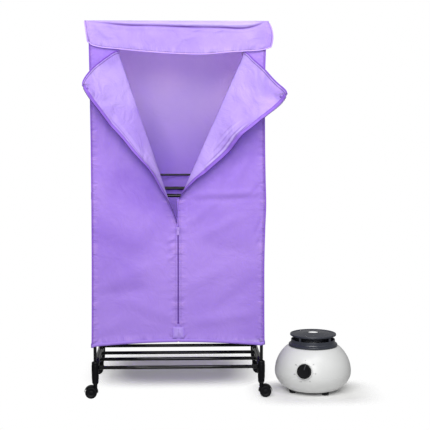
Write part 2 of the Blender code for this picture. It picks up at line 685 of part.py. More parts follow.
def caster_fork():
    """Stem, flange, neck, hood and the web between the twin wheels. +X is the way the wheel trails."""
    neck_r = STEM_FLANGE_R - FLANGE_LEDGE
    flange_top = SOCKET_FOOT_Z - SEAT_GAP
    flange_low = flange_top - STEM_FLANGE
    stem_top = SOCKET_FOOT_Z + STEM_DEPTH - SEAT_GAP
    inner = WHEEL_R + HOOD_GAP
    outer = inner + HOOD_WALL
    neck_low = WHEEL_R + inner * NECK_REACH_SHARE
    neck = turned([
        (0.0, neck_low), (neck_r, neck_low), (neck_r, flange_low), (STEM_FLANGE_R, flange_low),
        (STEM_FLANGE_R, flange_top), (STEM_R, flange_top), (STEM_R, stem_top), (0.0, stem_top),
    ], SOCKET_SIDES)
    axle = Matrix.Translation((TRAIL, 0.0, WHEEL_R)) @ Matrix.Rotation(math.radians(90.0), 4, "X")
    swing = [math.radians(a) for a in np.linspace(HOOD_START_DEG, HOOD_END_DEG, HOOD_FACETS)]
    shell = [(outer * math.cos(a), outer * math.sin(a)) for a in swing]
    shell += [(inner * math.cos(a), inner * math.sin(a)) for a in swing[::-1]]
    hood = extruded(shell, -HOOD_WIDTH / 2, HOOD_WIDTH / 2)
    hub_r = AXLE_R * HUB_SHARE
    under = [math.radians(a) for a in np.linspace(WEB_END_DEG, 360.0 + WEB_START_DEG, HOOD_FACETS)]
    over = [math.radians(a) for a in np.linspace(WEB_START_DEG, WEB_END_DEG, HOOD_FACETS)]
    reach = (inner + outer) / 2
    plate = [(hub_r * math.cos(a), hub_r * math.sin(a)) for a in under]
    plate += [(reach * math.cos(a), reach * math.sin(a)) for a in over]
    web = extruded(plate, -WEB_WIDTH / 2, WEB_WIDTH / 2)
    half = HOOD_WIDTH / 2
    return combined(neck, [
        ("DIFFERENCE", moved(rod(inner, -half, half, RING_SIDES), axle)),
        ("UNION", moved(hood, axle)),
        ("UNION", moved(web, axle)),
        ("DIFFERENCE", moved(rod(AXLE_R + AXLE_PLAY, -half, half), axle)),
    ])


def twin_wheel():
    """Two dished treads on one axle, turned about Z."""
    inner = (WHEEL_SPACING - WHEEL_WIDTH) / 2
    outer = inner + WHEEL_WIDTH
    half = [
        (0.0, outer - WHEEL_DISH), (WHEEL_R * HUBCAP_SHARE, outer - WHEEL_DISH),
        (WHEEL_R * RIM_SHARE, outer),
        (WHEEL_R - WHEEL_TREAD_ROUND, outer), (WHEEL_R, outer - WHEEL_TREAD_ROUND),
        (WHEEL_R, inner), (AXLE_R, inner),
    ]
    return turned(half + [(r, -h) for r, h in half[::-1]], WHEEL_SIDES)


def build_casters(parent, finishes):
    """Four swivel casters, their wheels trailing outwards."""
    fork = meshed("caster_fork", caster_fork())
    wheel = meshed("caster_wheels", twin_wheel())
    for depth, y in POST_Y.items():
        for name, side in SIDES.items():
            away = 0.0 if side > 0 else 180.0
            swivel = frame_at(f"swivel_{depth}_{name}", (side * POST_X, y, 0.0), parent,
                              Matrix.Rotation(math.radians(away), 4, "Z"))
            place(f"caster_fork_{depth}_{name}", fork, finishes["plastic"], swivel)
            place(f"caster_wheels_{depth}_{name}", wheel, finishes["tread"], swivel, (TRAIL, 0.0, WHEEL_R),
                  Matrix.Rotation(math.radians(90.0), 4, "X"))


def shell_radius(z):
    """Half the blower's width at height z: a wide ellipse above its waist and a shorter one below."""
    fall = SHELL_CROWN_RISE if z > SHELL_WAIST_Z else SHELL_FOOT_FALL
    return SHELL_R * math.sqrt(1 - ((z - SHELL_WAIST_Z) / fall) ** 2)


def shell_normal(z):
    """Outward slope of the shell at height z, as its outward and upward parts."""
    fall = SHELL_CROWN_RISE if z > SHELL_WAIST_Z else SHELL_FOOT_FALL
    out, up = shell_radius(z) / SHELL_R ** 2, (z - SHELL_WAIST_Z) / fall ** 2
    length = math.hypot(out, up)
    return out / length, up / length


def on_shell(name, z, facing_y, parent):
    """A frame on the shell's skin, its Z pointing out. It faces -Y or +Y."""
    out, up = shell_normal(z)
    return frame_at(name, (0.0, facing_y * shell_radius(z), z), parent, facing((0.0, facing_y * out, up)))


def blower_shell(timer_frame, gland_frame):
    """The moulded housing, open at foot and mouth, with holes for the timer's shaft and the cord's gland."""
    brow = SHELL_MOUTH_Z - SHELL_SHOULDER_DROP
    climb = np.linspace(SHELL_FOOT_Z, brow, SHELL_RINGS)
    outside = [(shell_radius(z), z) for z in climb]
    inside = [(shell_radius(z) - SHELL_WALL, z) for z in climb[::-1][1::2]]
    mouth = [(SHELL_SHOULDER_R, SHELL_MOUTH_Z), (MOUTH_R, SHELL_MOUTH_Z)]
    mouth += [(MOUTH_R, SHELL_MOUTH_Z - SHELL_WALL)]
    foot = [(shell_radius(SHELL_FOOT_Z) - SHELL_WALL, SHELL_FOOT_Z)]
    section = outside + mouth + [p for p in inside if p[1] > SHELL_FOOT_Z] + foot
    deep = SHELL_WALL * HOLE_REACH_SHARE
    return combined(turned(section, SHELL_SIDES, ring=True), [
        ("DIFFERENCE", moved(rod(KNOB_HOLE_R, -deep, deep), timer_frame)),
        ("DIFFERENCE", moved(rod(GLAND_INNER_R + GLAND_PLAY, -deep, deep), gland_frame)),
    ])


def blower_base():
    """The floor of the blower: a lipped plate with feet, an intake grille and the motor's boss."""
    radius = shell_radius(SHELL_FOOT_Z) - SHELL_WALL - BASE_PLAY
    floor_top = BASE_Z + BASE_PLATE
    plate = turned([
        (0.0, BASE_Z), (radius, BASE_Z), (radius, floor_top + BASE_LIP),
        (radius - BASE_PLATE / 2, floor_top + BASE_LIP), (radius - BASE_PLATE / 2, floor_top),
        (BASE_BOSS_R, floor_top), (BASE_BOSS_R, BASE_BOSS_TOP_Z),
        (0.0, BASE_BOSS_TOP_Z),
    ], SHELL_SIDES)
    steps = []
    root = BASE_Z + BASE_PLATE / 2
    for turn in spread_turns(FOOT_COUNT, 0.5):
        foot = turned([(0.0, 0.0), (FOOT_R - FOOT_TAPER, 0.0), (FOOT_R, root), (0.0, root)], SOCKET_SIDES)
        steps.append(("UNION", moved(foot, turn @ Matrix.Translation((FOOT_RING_R, 0.0, 0.0)))))
    low = (INTAKE_START_R, -INTAKE_WIDTH / 2, BASE_Z - OVERRUN)
    high = (INTAKE_END_R, INTAKE_WIDTH / 2, floor_top + OVERRUN)
    for turn in spread_turns(INTAKE_SLOTS, 0.5):
        steps.append(("DIFFERENCE", moved(block(low, high), turn)))
    return combined(plate, steps)


def disc_under_z(radius):
    """Height of the deflector's underside at a radius: a cone that climbs to its centre hole."""
    return DISC_EDGE_Z + DISC_RISE * (DISC_R - radius) / (DISC_R - DISC_HOLE_R)


def outlet_collar():
    """The black mouth of the blower: a rounded rim, its collar, and the posts that carry the deflector."""
    shoulder = RIM_HEIGHT * RIM_ROUND_SHARE
    ring = turned([
        (COLLAR_BORE_R, RIM_Z - SKIRT_DEPTH), (COLLAR_R, RIM_Z - SKIRT_DEPTH), (COLLAR_R, RIM_Z),
        (RIM_R - shoulder, RIM_Z), (RIM_R, RIM_Z + shoulder), (RIM_R, RIM_TOP_Z - shoulder),
        (RIM_R - shoulder, RIM_TOP_Z), (COLLAR_R, RIM_TOP_Z),
        (COLLAR_R, COLLAR_TOP_Z), (COLLAR_BORE_R, COLLAR_TOP_Z),
    ], SHELL_SIDES, ring=True)
    post_top = disc_under_z(DISC_POST_RING_R + DISC_POST_R) - DISC_WALL - SEAT_GAP
    out = Matrix.Translation((DISC_POST_RING_R, 0.0, 0.0))
    post_foot = RIM_TOP_Z + SEAT_GAP
    return combined(ring, [("UNION", moved(rod(DISC_POST_R, post_foot, post_top), turn @ out))
                           for turn in spread_turns(DISC_POSTS, DISC_POST_SHIFT_SHARE)])


def outlet_grille():
    """The guard in the collar: a band, two rings and a hub, joined by spokes. The posts hold it down."""
    edge = COLLAR_BORE_R - SEAT_GAP - FACET_PLAY
    starts = (edge - GRILLE_RING_WIDTH, *GRILLE_RINGS)
    foot, top = GRILLE_Z, RIM_TOP_Z
    sections = [[(r, foot), (r + GRILLE_RING_WIDTH, foot), (r + GRILLE_RING_WIDTH, top), (r, top)]
                for r in starts]
    rings = [turned(section, RING_SIDES, ring=True) for section in sections]
    steps = [("UNION", ring) for ring in rings[1:]]
    steps.append(("UNION", rod(GRILLE_HUB_R, GRILLE_Z, RIM_TOP_Z, SOCKET_SIDES)))
    low = (GRILLE_HUB_R * SPOKE_ROOT_SHARE, -SPOKE_WIDTH / 2, GRILLE_Z + GRILLE_STEP)
    high = (edge - GRILLE_RING_WIDTH / 2, SPOKE_WIDTH / 2, RIM_TOP_Z - GRILLE_STEP)
    steps += [("UNION", moved(block(low, high), turn)) for turn in spread_turns(GRILLE_SPOKES)]
    return combined(rings[0], steps)


def deflector_disc():
    """The shallow cone over the outlet, with a rolled lip and a centre hole."""
    edge = DISC_R - DISC_LIP_WIDTH
    return turned([
        (DISC_HOLE_R, disc_under_z(DISC_HOLE_R) - DISC_WALL), (edge, disc_under_z(edge) - DISC_WALL),
        (edge, DISC_EDGE_Z - DISC_LIP_FALL), (DISC_R, DISC_EDGE_Z - DISC_LIP_FALL),
        (DISC_R, DISC_EDGE_Z + DISC_LIP_RISE), (edge, DISC_EDGE_Z + DISC_LIP_RISE),
        (edge, disc_under_z(edge)), (DISC_HOLE_R, disc_under_z(DISC_HOLE_R)),
    ], SHELL_SIDES, ring=True)


def motor():
    """The fan motor on its boss, with a bore for the fan's shaft."""
    foot = BASE_BOSS_TOP_Z + SEAT_GAP
    bore = MOTOR_SHAFT_R + SHAFT_PLAY
    return turned([
        (0.0, foot), (MOTOR_R, foot), (MOTOR_R, MOTOR_TOP_Z - bore), (MOTOR_R - bore, MOTOR_TOP_Z),
        (bore, MOTOR_TOP_Z), (bore, MOTOR_TOP_Z - SHAFT_DEPTH), (0.0, MOTOR_TOP_Z - SHAFT_DEPTH),
    ], SOCKET_SIDES)


def fan():
    """The fan: a hub with swept, leaning blades, on a shaft that runs down into the motor."""
    foot = MOTOR_TOP_Z + FAN_GAP
    hub = turned([
        (0.0, MOTOR_TOP_Z - SHAFT_DEPTH + SEAT_GAP), (MOTOR_SHAFT_R, MOTOR_TOP_Z - SHAFT_DEPTH + SEAT_GAP),
        (MOTOR_SHAFT_R, foot), (FAN_HUB_R, foot),
        (FAN_HUB_R, foot + FAN_HUB_HEIGHT), (0.0, foot + FAN_HUB_HEIGHT),
    ], SOCKET_SIDES)
    out = np.linspace(0.0, 1.0, 5)[None, :]
    lift = np.linspace(*BLADE_EDGE_SHARES, 3)[:, None]
    root = FAN_HUB_R * BLADE_ROOT_SHARE
    radius = root + (FAN_R - root) * out + 0 * lift
    bend = np.radians(BLADE_SWEEP_DEG) * out + np.radians(BLADE_LEAN_DEG) * lift
    rise = foot + FAN_HUB_HEIGHT * lift + 0 * out
    grid = np.stack([radius * np.cos(bend), radius * np.sin(bend), rise], axis=2)
    steps = []
    for turn in spread_turns(FAN_BLADES):
        steps.append(("UNION", moved(sheet(grid, np.array((0.0, BLADE_WALL, 0.0))), turn)))
    return combined(hub, steps)


def heater():
    """The heating element under the grille: two rings joined by upright fins."""
    top = GRILLE_Z - SEAT_GAP
    foot = top - HEATER_HEIGHT
    bands = [[(low, foot), (low + HEATER_RING, foot), (low + HEATER_RING, top), (low, top)]
             for low in (HEATER_R - HEATER_RING, HEATER_BORE_R)]
    steps = [("UNION", turned(bands[1], SOCKET_SIDES, ring=True))]
    low = (HEATER_BORE_R + HEATER_RING / 2, -FIN_WALL / 2, foot)
    high = (HEATER_R - HEATER_RING / 2, FIN_WALL / 2, top)
    steps += [("UNION", moved(block(low, high), turn)) for turn in spread_turns(HEATER_FINS, 0.5)]
    return combined(turned(bands[0], RING_SIDES, ring=True), steps)


def knob():
    """The timer's knob, its Z pointing out of the shell, with a raised pointer and a shaft."""
    top = KNOB_GAP + KNOB_HEIGHT
    body = turned([
        (0.0, -KNOB_SHAFT_DEPTH), (KNOB_SHAFT_R, -KNOB_SHAFT_DEPTH), (KNOB_SHAFT_R, KNOB_GAP),
        (KNOB_R, KNOB_GAP), (KNOB_R - KNOB_BEVEL / 2, top - KNOB_BEVEL),
        (KNOB_R - KNOB_BEVEL, top), (0.0, top),
    ], SHELL_SIDES)
    mark = block((-KNOB_MARK_WIDTH / 2, KNOB_R * KNOB_MARK_START_SHARE, top - KNOB_BEVEL),
                 (KNOB_MARK_WIDTH / 2, KNOB_R - KNOB_BEVEL, top + KNOB_MARK_RISE))
    return combined(body, [("UNION", moved(mark, Matrix.Rotation(math.radians(-KNOB_MARK_DEG), 4, "Z")))])


def timer_case():
    """The clockwork behind the knob, its face just inside the shell's curve."""
    curve = min(shell_radius(KNOB_Z), SHELL_CROWN_RISE ** 2 / SHELL_R)
    face = -SHELL_WALL - TIMER_R ** 2 / (2 * curve) - TIMER_CLEARANCE
    floor = -KNOB_SHAFT_DEPTH - SEAT_GAP * 2
    return turned([
        (0.0, face - TIMER_HEIGHT), (TIMER_R, face - TIMER_HEIGHT), (TIMER_R, face), (TIMER_BORE_R, face),
        (TIMER_BORE_R, floor), (0.0, floor),
    ], SOCKET_SIDES)


def cord_gland():
    """The bushing that the cord would enter by: an open sleeve with a flange."""
    return turned([
        (GLAND_HOLE_R, -GLAND_LENGTH / 2), (GLAND_INNER_R, -GLAND_LENGTH / 2), (GLAND_INNER_R, SEAT_GAP),
        (GLAND_R, SEAT_GAP), (GLAND_R - GLAND_ROUND, SEAT_GAP + GLAND_FLANGE),
        (GLAND_INNER_R, GLAND_LENGTH / 2), (GLAND_HOLE_R, GLAND_LENGTH / 2),
    ], SOCKET_SIDES, ring=True)


def build_blower(parent, finishes):
    """The hot air blower that stands beside the cabinet."""
    gloss, black = finishes["gloss_white"], finishes["gloss_black"]
    timer_frame = on_shell("timer_axis", KNOB_Z, -1, parent)
    gland_frame = on_shell("gland_axis", GLAND_Z, 1, parent)
    shell = blower_shell(timer_frame.matrix_basis, gland_frame.matrix_basis)
    place("blower_shell", shell, gloss, parent)
    place("blower_base", blower_base(), finishes["plastic"], parent)
    place("outlet_collar", outlet_collar(), black, parent)
    place("outlet_grille", outlet_grille(), black, parent)
    place("deflector_disc", deflector_disc(), black, parent)
    place("motor", motor(), finishes["steel"], parent)
    place("fan", fan(), finishes["plastic"], parent)
    place("heater", heater(), finishes["metal"], parent)
    place("timer_knob", knob(), finishes["plastic"], timer_frame)
    place("timer", timer_case(), finishes["plastic"], timer_frame)
    place("cord_gland", cord_gland(), finishes["plastic"], gland_frame)


def main():
    """Builds the whole dryer."""
    clear_scene()
    finishes = {
        "cloth": material("violet_nylon", (0.40, 0.24, 0.80), 0.6),
        "lining": material("violet_lining", (0.56, 0.40, 0.95), 0.6),
        "zip": material("zip_tape", (0.50, 0.36, 0.88), 0.5),
        "metal": material("bright_metal", (0.70, 0.70, 0.72), 0.3, 1.0),
        "steel": material("black_enamelled_tube", (0.012, 0.012, 0.015), 0.25),
        "plastic": material("black_plastic", (0.015, 0.015, 0.018), 0.45),
        "tread": material("caster_tread", (0.03, 0.03, 0.035), 0.6),
        "gloss_white": material("white_gloss_plastic", (0.80, 0.80, 0.80), 0.2),
        "gloss_black": material("charcoal_gloss_plastic", (0.02, 0.022, 0.03), 0.25),
    }
    cabinet = frame_at("cabinet", (-SET_CENTRE_X, -SET_CENTRE_Y, 0.0))
    build_cover(cabinet, finishes)
    build_zip(cabinet, finishes)
    build_frame(cabinet, finishes)
    build_casters(cabinet, finishes)
    blower = frame_at("blower", (BLOWER_X - SET_CENTRE_X, BLOWER_Y - SET_CENTRE_Y, 0.0), None,
                      Matrix.Rotation(math.radians(BLOWER_TURN_DEG), 4, "Z"))
    build_blower(blower, finishes)


main()
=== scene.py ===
"""Portable clothes dryer, dressed for its picture: cover, tube frame, casters and hot air blower.

Metres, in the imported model's frame. Sizes of the cabinet are given from the middle of its front edge.
"""
import logging
import math
from dataclasses import dataclass, field
from enum import Enum
from typing import NamedTuple, Sequence

import bmesh
import bpy
import numpy as np
from mathutils import Matrix, Vector


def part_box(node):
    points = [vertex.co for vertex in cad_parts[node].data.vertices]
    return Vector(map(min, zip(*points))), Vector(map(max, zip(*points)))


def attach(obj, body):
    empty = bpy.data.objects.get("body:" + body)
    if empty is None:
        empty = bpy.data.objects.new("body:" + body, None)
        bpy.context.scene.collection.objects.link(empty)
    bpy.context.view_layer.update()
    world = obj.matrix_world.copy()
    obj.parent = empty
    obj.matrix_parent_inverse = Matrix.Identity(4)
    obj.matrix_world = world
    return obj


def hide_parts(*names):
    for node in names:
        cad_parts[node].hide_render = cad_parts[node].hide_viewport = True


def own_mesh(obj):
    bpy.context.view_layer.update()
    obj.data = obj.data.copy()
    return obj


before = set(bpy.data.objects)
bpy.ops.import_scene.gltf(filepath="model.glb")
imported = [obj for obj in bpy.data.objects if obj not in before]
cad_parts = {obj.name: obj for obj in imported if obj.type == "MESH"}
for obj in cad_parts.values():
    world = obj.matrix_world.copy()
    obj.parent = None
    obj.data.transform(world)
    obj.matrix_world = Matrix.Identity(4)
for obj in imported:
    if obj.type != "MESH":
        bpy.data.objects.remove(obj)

Array = np.ndarray
Material = bpy.types.Material
Object = bpy.types.Object
Socket = bpy.types.NodeSocket
Colour = Spot = tuple[float, float, float]
Row = tuple[float, ...]
log = logging.getLogger("dryer")

WELD = 1e-6
FULL_TURN = 2 * math.pi


class Side(Enum):
    """Which side of the cabinet, as seen from the front. The value is the sign of its x."""
    LEFT = -1
    RIGHT = 1

    @property
    def word(self) -> str:
        """The side's name as it stands in the names of pieces and bodies."""
        return self.name.lower()


class Depth(Enum):
    """Front or back of the cabinet."""
    FRONT = "front"
    BACK = "back"


def unit(vector: Sequence[float]) -> Array:
    """The vector scaled to a length of one."""
    arrow = np.asarray(vector, float)
    return arrow / np.linalg.norm(arrow)


def ease(value: Array, low: float | Array, high: float | Array) -> Array:
    """A smooth rise from 0 at low to 1 at high: three squares less two cubes of the share."""
    share = np.clip((value - low) / (high - low), 0.0, 1.0)
    return share * share * (3.0 - 2.0 * share)


def dome(share: Array) -> Array:
    """Half a sine wave: 0 at either end and 1 in the middle."""
    return np.sin(np.pi * np.clip(share, 0.0, 1.0))


def bell(value: Array, middle: float | Array, width: float, power: int = 2) -> Array:
    """A bell curve: e to the minus power of the distance from the middle over the width."""
    return np.exp(-((value - middle) / width) ** power)


def ripples(waves: Sequence[Row], u: Array, v: Array) -> Array:
    """A sum of slow waves: each a height times the sine of its share of u, its share of v and a shift."""
    return sum(height * np.sin(along * u + up * v + shift) for height, along, up, shift in waves)


def stack(*values: Array | float) -> Array:
    """Two or three measures of every point put side by side, as the last size of one array."""
    return np.stack(np.broadcast_arrays(*values), axis=-1)


def long(rows: Array) -> Array:
    """The length of each row's direction, kept as a column."""
    return np.linalg.norm(rows, axis=-1, keepdims=True)


def smooth_line(at: Array, knots: Sequence[float], values: Sequence[float]) -> Array:
    """A smooth curve through points: Hermite cubics whose slopes are the mean slopes at each knot."""
    x, y = np.asarray(knots, float), np.asarray(values, float)
    steps = np.diff(y) / np.diff(x)
    slopes = np.concatenate([steps[:1], (steps[1:] + steps[:-1]) / 2, steps[-1:]])
    k = np.clip(np.searchsorted(x, at, side="right") - 1, 0, len(x) - 2)
    width = x[k + 1] - x[k]
    t = np.clip((at - x[k]) / width, 0.0, 1.0)
    rise = t * t * (3 - 2 * t)
    return (y[k] * (1 - rise) + y[k + 1] * rise
            + width * (slopes[k] * t * (1 - t) ** 2 - slopes[k + 1] * t * t * (1 - t)))


def rounded(corners: Sequence[Sequence[float]], radius: float, steps: int = 5, closed: bool = True) -> Array:
    """An outline with its corners rounded: each corner becomes a quadratic arc between its two shoulders.

    Args:
        corners: the outline's corners, in two or three sizes.
        radius: how far back from a corner its arc starts, at most 0.45 of an edge.
        steps: points on each arc.
        closed: whether the last corner joins the first.

    Returns:
        The points, in order. An open outline keeps its two ends.
    """
    points = np.asarray(corners, float)
    start, end = (points + to / long(to) * np.minimum(radius, 0.45 * long(to))
                  for to in (np.roll(points, shift, axis=0) - points for shift in (1, -1)))
    t = np.linspace(0.0, 1.0, steps)[None, :, None]
    arcs = start[:, None] * (1 - t) ** 2 + points[:, None] * 2 * t * (1 - t) + end[:, None] * t * t
    if closed:
        return arcs.reshape(-1, points.shape[1])
    return np.concatenate([points[:1], arcs[1:-1].reshape(-1, points.shape[1]), points[-1:]])


@dataclass
class Place:
    """Where a sub-assembly stands: its points are turned by the columns of turn, then moved to origin."""
    origin: Array
    turn: Array = field(default_factory=lambda: np.eye(3))

    def __call__(self, points: Array) -> Array:
        """The points in the model's frame."""
        return np.asarray(points, float) @ self.turn.T + self.origin

    def inner(self, origin: Sequence[float], turn: Array | None = None) -> "Place":
        """A place given within this one."""
        return Place(self(np.asarray(origin, float)), self.turn @ (np.eye(3) if turn is None else turn))


def about_z(degrees: float) -> Array:
    """The turn about the upright axis."""
    return np.array(Matrix.Rotation(math.radians(degrees), 3, "Z"))


def basis(x: Sequence[float], y: Sequence[float], z: Sequence[float]) -> Array:
    """The turn whose columns are these three directions."""
    return np.stack([unit(x), unit(y), unit(z)], axis=1)


FACING_FORWARD = basis((1, 0, 0), (0, 0, 1), (0, -1, 0))


def link(name: str, data: bpy.types.ID) -> Object:
    """A new object with this data, put in the scene."""
    made = bpy.data.objects.new(name, data)
    bpy.context.scene.collection.objects.link(made)
    return made


def settle(piece: Object, body: str, slot: str, *nodes: str) -> Object:
    """Puts the piece on its body and hides the CAD nodes that it stands for."""
    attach(piece, body)
    if nodes:
        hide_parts(*nodes)
    return piece


class Surface:
    """Grids of points gathered into one mesh, with a texture position for every point."""

    def __init__(self) -> None:
        """Starts empty."""
        self.points: list[Array] = []
        self.spots: list[Array] = []
        self.faces: list[Array] = []
        self.traits: dict[str, list[Array]] = {}
        self.count = 0

    def grid(self, points: Array, spots: Array | None = None, flip: bool = False,
             **traits: Array | float) -> "Surface":
        """Adds a grid of points as quads. Its faces look along (next column) x (next row).

        Args:
            points: rows x columns x 3.
            spots: rows x columns x 2 texture positions, or none for the shares along the grid.
            flip: turns the faces round.
            traits: further numbers for every point, by name, rows x columns.

        Returns:
            The surface itself.
        """
        rows, columns, _ = points.shape
        i, j = np.arange(rows - 1)[:, None] * columns, np.arange(columns - 1)[None, :]
        corners = [i + j, i + j + 1, i + columns + j + 1, i + columns + j]
        quads = np.stack(corners[::-1] if flip else corners, axis=-1).reshape(-1, 4)
        if spots is None:
            spots = np.stack(np.meshgrid(np.linspace(0, 1, columns), np.linspace(0, 1, rows)), axis=-1)
        self.points.append(points.reshape(-1, 3))
        self.spots.append(spots.reshape(-1, 2))
        self.faces.append(quads + self.count)
        for name, values in traits.items():
            self.traits.setdefault(name, []).append(np.broadcast_to(values, (rows, columns)).reshape(-1))
        self.count += rows * columns
        return self

    def object(self, name: str, place: Place, finish: Material, sharp: float | None = None) -> Object:
        """Makes the piece, its seams and poles welded shut.

        Args:
            name: the piece's name.
            place: where the points stand.
            finish: the material.
            sharp: an angle in degrees past which an edge stays sharp, or none for smooth all over.

        Returns:
            The object, at the origin.
        """
        mesh = bpy.data.meshes.new(name)
        points, faces = place(np.concatenate(self.points)), np.concatenate(self.faces)
        mesh.vertices.add(len(points))
        mesh.vertices.foreach_set("co", points.ravel())
        mesh.loops.add(faces.size)
        mesh.loops.foreach_set("vertex_index", faces.ravel())
        mesh.polygons.add(len(faces))
        mesh.polygons.foreach_set("loop_start", np.arange(0, faces.size, 4))
        layer = mesh.uv_layers.new(name="UVMap")
        layer.data.foreach_set("uv", np.concatenate(self.spots)[faces.ravel()].ravel())
        for trait, values in self.traits.items():
            layer = mesh.attributes.new(trait, "FLOAT", "POINT")
            layer.data.foreach_set("value", np.concatenate(values).astype(np.float32))
        mesh.update(calc_edges=True)
        welded = bmesh.new()
        welded.from_mesh(mesh)
        bmesh.ops.remove_doubles(welded, verts=welded.verts, dist=WELD)
        bmesh.ops.dissolve_degenerate(welded, edges=welded.edges, dist=WELD / 10)
        welded.to_mesh(mesh)
        welded.free()
        mesh.shade_smooth()
        if sharp is not None:
            mesh.set_sharp_from_angle(angle=math.radians(sharp))
        mesh.materials.append(finish)
        return link(name, mesh)


def thicken(piece: Object, wall: float, inner: Material | None = None, offset: float = -1.0) -> Object:
    """Gives a sheet its thickness, with its own material on the inner side.

    Args:
        piece: an open sheet.
        wall: the thickness.
        inner: the inner side's material, or none for the same one.
        offset: -1 sets the wall off inwards, 1 outwards.

    Returns:
        The piece.
    """
    solid = piece.modifiers.new("thickness", "SOLIDIFY")
    solid.thickness, solid.offset, solid.use_even_offset = wall, offset, True
    if inner is not None:
        piece.data.materials.append(inner)
        solid.material_offset = 1
    return piece


def lathe(profile: Sequence[Sequence[float]] | Array, sides: int = 48) -> Array:
    """A profile of (radius, height) points carried round Z: radius times cosine and sine, and the height."""
    angle = np.linspace(0.0, FULL_TURN, sides + 1)[None, :]
    radius, height = np.hsplit(np.asarray(profile, float), 2)
    return stack(radius * np.cos(angle), radius * np.sin(angle), height)


def fluted(shape: Array, swell: Array) -> Array:
    """A turned shape whose every point's distance from the axis is multiplied by the swell."""
    return shape * stack(swell, swell, 1.0)


def sweep(path: Array, radius: float, sides: int = 8, up: Sequence[float] = (0.0, 0.0, 1.0),
          flat: float = 1.0) -> Array:
    """A ring of points carried along a path, square to its direction.

    Each ring is the path's point, plus the radius times cosine along the side and sine along the third
    direction. The side is square to the path and to up. At either end the ring shrinks to a point.

    Args:
        path: the points of the centre line.
        radius: the cord's radius.
        sides: points round the ring.
        up: a direction that the path never takes.
        flat: the third direction's share of the radius, below 1 for a flattened section.

    Returns:
        Rows along the path x columns round it x 3.
    """
    ahead = np.gradient(path, axis=0)
    ahead /= long(ahead)
    side = np.cross(ahead, np.asarray(up, float))
    side /= long(side)
    third = np.cross(side, ahead)
    angle = np.linspace(0.0, FULL_TURN, sides + 1)[None, :, None]
    rows = path[:, None] + (side[:, None] * np.cos(angle) + third[:, None] * np.sin(angle) * flat) * radius
    first, last = (np.broadcast_to(end, rows[:1].shape) for end in (path[0], path[-1]))
    return np.concatenate([first, rows, last])[:, ::-1]


def prism(outline: Array, low: float, high: float, bevel: float) -> Array:
    """A closed outline in XY carried up Z, its two rims drawn in towards the middle by the bevel.

    Rows: the middle of the floor, the floor's rim, the wall, the top's rim, the middle of the top.
    """
    ring = np.concatenate([outline, outline[:1]])
    middle = np.broadcast_to(outline.mean(axis=0), ring.shape)
    shrink = ring - (ring - middle) / long(ring - middle) * bevel
    levels = ((middle, low), (shrink, low), (ring, low + bevel), (ring, high - bevel), (shrink, high),
              (middle, high))
    return np.stack([np.column_stack([xy, np.full(len(xy), z)]) for xy, z in levels])


class Graph:
    """A material's nodes, added one by one and joined as they are named."""

    def __init__(self, name: str) -> None:
        """Starts a material with nothing but its output."""
        self.material = bpy.data.materials.new(name)
        self.material.use_nodes = True
        self.tree = self.material.node_tree
        self.tree.nodes.clear()
        self.output = self.tree.nodes.new("ShaderNodeOutputMaterial")

    def add(self, kind: str, inputs: dict[str | int, object] | None = None,
            **settings: object) -> bpy.types.Node:
        """Adds a node.

        Args:
            kind: the node's type, after ShaderNode.
            inputs: a value or another node's socket for each input, by its name or number.
            settings: the node's own settings.

        Returns:
            The node.
        """
        node = self.tree.nodes.new("ShaderNode" + kind)
        for key, value in settings.items():
            setattr(node, key, value)
        for key, value in (inputs or {}).items():
            if isinstance(value, Socket):
                self.tree.links.new(value, node.inputs[key])
            else:
                node.inputs[key].default_value = value
        return node

    def where(self) -> Socket:
        """The point's place in metres."""
        return self.add("TexCoord").outputs["Object"]

    def noise(self, scale: float, detail: float, vector: Socket | None = None, roughness: float = 0.5,
              distortion: float = 0.0) -> Socket:
        """A cloud pattern from 0 to 1."""
        inputs = {"Vector": vector or self.where(), "Scale": scale, "Detail": detail, "Roughness": roughness,
                  "Distortion": distortion}
        return self.add("TexNoise", inputs).outputs[0]

    def sum(self, operation: str, *values: object) -> Socket:
        """One step of arithmetic on numbers or sockets."""
        return self.add("Math", dict(enumerate(values)), operation=operation).outputs[0]

    def times(self, *values: object) -> Socket:
        """The product of two numbers or sockets."""
        return self.sum("MULTIPLY", *values)

    def span(self, value: Socket, low: float, high: float, to_low: float = 0.0,
             to_high: float = 1.0) -> Socket:
        """The value moved from one range to another, and held inside it."""
        inputs = {0: value, 1: low, 2: high, 3: to_low, 4: to_high}
        return self.add("MapRange", inputs, interpolation_type="SMOOTHSTEP").outputs[0]

    def mix(self, share: object, first: object, second: object) -> Socket:
        """Two colours mixed by a share."""
        return self.add("Mix", {0: share, 6: first, 7: second}, data_type="RGBA").outputs[2]

    def trait(self, name: str) -> Socket:
        """A number that the piece's points carry."""
        return self.add("Attribute", attribute_name=name).outputs["Fac"]

    def bump(self, height: Socket, strength: float, distance: float, base: Socket | None = None) -> Socket:
        """A surface normal tilted by a height pattern."""
        inputs = {"Height": height, "Strength": strength, "Distance": distance}
        if base is not None:
            inputs["Normal"] = base
        return self.add("Bump", inputs).outputs[0]

    def finish(self, shader: Socket) -> Material:
        """Joins the shader to the output."""
        self.tree.links.new(shader, self.output.inputs[0])
        return self.material


def tint(colour: Sequence[float], share: float = 1.0) -> tuple[float, float, float, float]:
    """The colour made lighter or darker by a share, as four numbers."""
    return (*(min(c * share, 1.0) for c in colour[:3]), 1.0)


class Weave(Enum):
    """How the sewn lines of a piece of cloth are stitched."""
    PLAIN = 0
    STITCHED = 1


